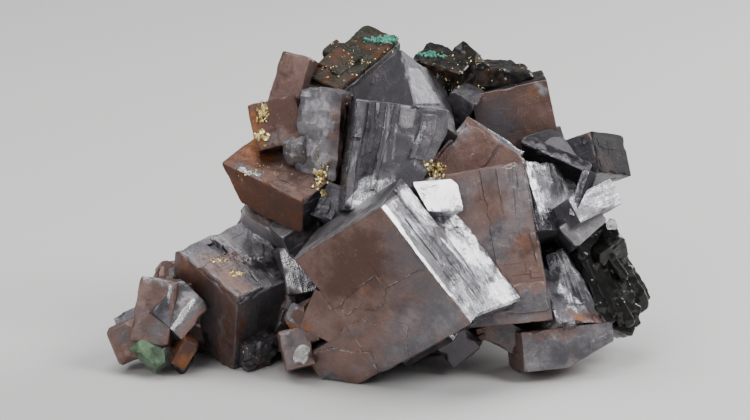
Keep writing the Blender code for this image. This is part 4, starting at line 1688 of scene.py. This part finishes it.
# Specks too small to be pieces of the part: their middles, then the same values, with how many at each
speckPatches = {
    "specksTopPlate": (
        [(-6.7, 21.2, 74.6), (2.1, 27.3, 76.5), (-11.6, 20.0, 73.6), (-3.0, 23.0, 74.5)],
        (1.5, 1.0, 0.8), towardView, 10, (0.25, 0.75),
    ),
    "specksTopRight": (
        [(16.4, 16.2, 72.2), (23.1, 21.9, 75.2), (17.0, 22.3, 75.8), (25.0, 19.2, 74.3),
         (17.6, 16.2, 69.4), (25.0, 18.5, 68.9)],
        (1.8, 1, 0.8), towardView, 7, (0.25, 0.75),
    ),
    "specksCrust": ([(-6, 25.5, 76), (22, 20, 74)], (8, 8, 2), forwardUp, 24, (0.2, 0.6)),
    "specksLowCorner": ([(-31, -8, 9)], (3.6, 1, 3), towardView, 20, (0.2, 0.6)),
    "specksShelf": ([(-24, 2, 54)], (7, 4, 2), forwardUp, 30, (0.2, 0.6)),
}
grainWays = {
    "seeds": ((1.1, 1.0, 0.6), (1.5, 0.8, 0.45), (0.9, 1.3, 0.4)),  # stretch of the crystals to copy
    "crowding": 0.55,  # spread of the places, as a share of the patch
    "dropHeight": 0.012,  # in m
    "furthest": 0.009,  # in m, past which a grain has missed the patch
    "smallest": 0.6,  # share of its size
    "lift": 0.02,
    "turn": (0, 6.3),  # in radians, any way round
}


def landing(trees, start, direction):
    # The nearest face in that direction.
    hits = [tree.ray_cast(start, direction) for tree in trees]
    hits = [hit for hit in hits if hit[0] is not None]
    return min(hits, key=lambda hit: hit[3]) if hits else None


def makeSeeds():
    # Small crystals that the grains are copied from.
    seeds = []
    for n, stretch in enumerate(grainWays["seeds"]):
        bpy.ops.mesh.primitive_ico_sphere_add(subdivisions=1, radius=0.5)
        seed = bpy.context.object
        bpy.ops.object.mode_set(mode="EDIT")
        bpy.ops.transform.resize(value=stretch)
        bpy.ops.object.mode_set(mode="OBJECT")
        seed.name = "seed" + str(n)
        seeds.append(seed)
    return seeds


seeds = makeSeeds()
graph = bpy.context.evaluated_depsgraph_get()
trees = [BVHTree.FromObject(piece, graph) for piece in galenaPieces + sphaleritePieces]


def copyGrain(seed, place, size, turn):
    grain = seed.copy()
    grain.data = seed.data.copy()
    bpy.context.scene.collection.objects.link(grain)
    grain.data.transform(Matrix.Translation(place) @ turn.to_matrix().to_4x4() @ Matrix.Scale(size, 4))
    return grain


def dropGrains(name, middle, spread, fromSide, count, sizes):
    chance = random.Random(name)
    centre = (Vector(middle) - tableOrigin) * mm
    grains = []
    for item in range(count):
        share = [chance.gauss(0, grainWays["crowding"]) for axis in axes]
        spot = centre + Vector([s * span for s, span in zip(share, spread)]) * mm
        found = landing(trees, spot + fromSide * grainWays["dropHeight"], -fromSide)
        size = chance.uniform(*sizes) * chance.uniform(grainWays["smallest"], 1)
        turn = Euler([chance.uniform(*grainWays["turn"]) for axis in axes])
        if found is None or (found[0] - spot).length > grainWays["furthest"]:
            continue
        place = found[0] + found[1] * size * grainWays["lift"] * mm
        grains.append(copyGrain(chance.choice(seeds), place, size * mm, turn))
    return grains


print("dropping the grains")
for node, patch in grainPatches.items():
    nodePiece(dropGrains(node, *patch), node, node.split("_")[0], 0)
for name, (middles, *patch) in speckPatches.items():
    specks = []
    for n, middle in enumerate(middles):
        specks += dropGrains(name + str(n), middle, *patch)
    joinPieces(specks, name, "chalcopyrite", 0)

# Crystals that stand alone
singles = {
    "green_crystal": {
        "look": "green",
        "at": (-54.3, -10.5, 10),
        "size": (8.4, 5, 7.5),
        "turn": (-39, -16, 22),
        "slants": [("+x", "z", (-3.75, 1.2), (3.75, 4.2)), ("-x", "z", (-3.75, -0.6), (3.75, -4.2))],
    },
    "quartz_front": {
        "look": "quartz",
        "at": (-17.9, -17.3, 12.4),
        "size": (3, 3, 4.2),
        "turn": (35, 30, 40),
    },
    "quartz_right": {
        "look": "quartz",
        "at": (55.8, -2.8, 40.4),
        "size": (2.4, 3, 2.6),
        "turn": (35, 40, 35),
    },
}
singleWays = {
    "pitch": 0.4,
    "worn": 0.3,
    "chip": 1.4,
    "relief": {"plates": 0.3, "waves": 0.4, "grit": 0.15},
    "reliefShift": Vector((30, 60, 90)),
    "patternShift": 50,
}


def growSingle(node):
    crystal = singles[node]
    half = Vector(crystal["size"]) / 2
    block = cutBlock(-half, half, singleWays["pitch"], singleWays["worn"])
    points = readPoints(block.data).astype(float)
    chipEdges(points, -half, half, random.Random(node), singleWays["chip"])
    for slant in crystal.get("slants", ()):
        slantSide(points, half, *slant)
    writePoints(block.data, points)
    shifted = readPoints(block.data) + singleWays["patternShift"]
    store(block.data, "place", "FLOAT_VECTOR", "POINT", shifted, "vector")
    wear(block, singleWays["relief"], singleWays["reliefShift"])
    setInPlace(block, crystal["at"], crystal["turn"])
    return nodePiece([block], node, crystal["look"], 20)


print("growing the single crystals")
for node in singles:
    growSingle(node)

for seed in seeds:
    bpy.data.objects.remove(seed)
bpy.data.objects.remove(wearSeat)

# Floor, lights and camera. A softbox has its direction, distance, size and watts.
studio = {
    "floorSize": 3.2,
    "floorDrop": 0.0003,
    "floorColor": (0.62, 0.61, 0.60),
    "worldColor": (0.42, 0.43, 0.45),
    "worldStrength": 0.55,
    "aim": Vector((-0.0012, -0.0097, 0.0381)),
    "elevation": 15,
    "distance": 0.70,
    "lens": 140,
    "softboxes": {
        "rightSoftbox": ((0.74, 0.50, 0.42), 0.9, (0.42, 0.42), 7),
        "keySoftbox": ((0.66, -0.30, 0.70), 0.9, (0.35, 0.4), 5),
        "topSoftbox": ((-0.2, 0.1, 1), 1.0, (0.8, 0.8), 9),
        "frontFill": ((-0.6, -1, 0.7), 1.3, (0.7, 0.7), 6),
    },
}


def makeFloor():
    bpy.ops.mesh.primitive_plane_add(size=studio["floorSize"], location=(0, 0, -studio["floorDrop"]))
    floor = bpy.context.object
    floor.name = "floor"
    look = Look("floor")
    patches = look.noise(look.node("TexCoord", output=3), 3.0, 3.0)
    shade = studio["floorColor"]
    color = look.mix(patches, [c * 0.97 for c in shade], [c * 1.03 for c in shade])
    floor.data.materials.append(look.finish(color, 0.8))


def addSoftbox(name, direction, distance, size, watts):
    data = bpy.data.lights.new(name, "AREA")
    data.shape = "RECTANGLE"
    data.size, data.size_y = size
    data.energy = watts
    lamp = bpy.data.objects.new(name, data)
    lamp.location = studio["aim"] + Vector(direction).normalized() * distance
    lamp.rotation_mode = "QUATERNION"
    lamp.rotation_quaternion = Vector(direction).to_track_quat("Z", "Y")
    bpy.context.scene.collection.objects.link(lamp)


def makeCamera():
    data = bpy.data.cameras.new("camera")
    data.sensor_width = 36
    data.lens = studio["lens"]
    data.clip_start, data.clip_end = 0.05, 20
    camera = bpy.data.objects.new("camera", data)
    tilt = math.radians(studio["elevation"])
    away = Vector((0, -math.cos(tilt), math.sin(tilt)))
    camera.location = studio["aim"] + away * studio["distance"]
    camera.rotation_euler = (math.pi / 2 - tilt, 0, 0)
    bpy.context.scene.collection.objects.link(camera)
    bpy.context.scene.camera = camera


print("setting the studio")
makeFloor()
for name, softbox in studio["softboxes"].items():
    addSoftbox(name, *softbox)
makeCamera()
world = bpy.data.worlds.new("studio")
world.use_nodes = True
world.node_tree.nodes["Background"].inputs[0].default_value = (*studio["worldColor"], 1)
world.node_tree.nodes["Background"].inputs[1].default_value = studio["worldStrength"]
bpy.context.scene.world = world
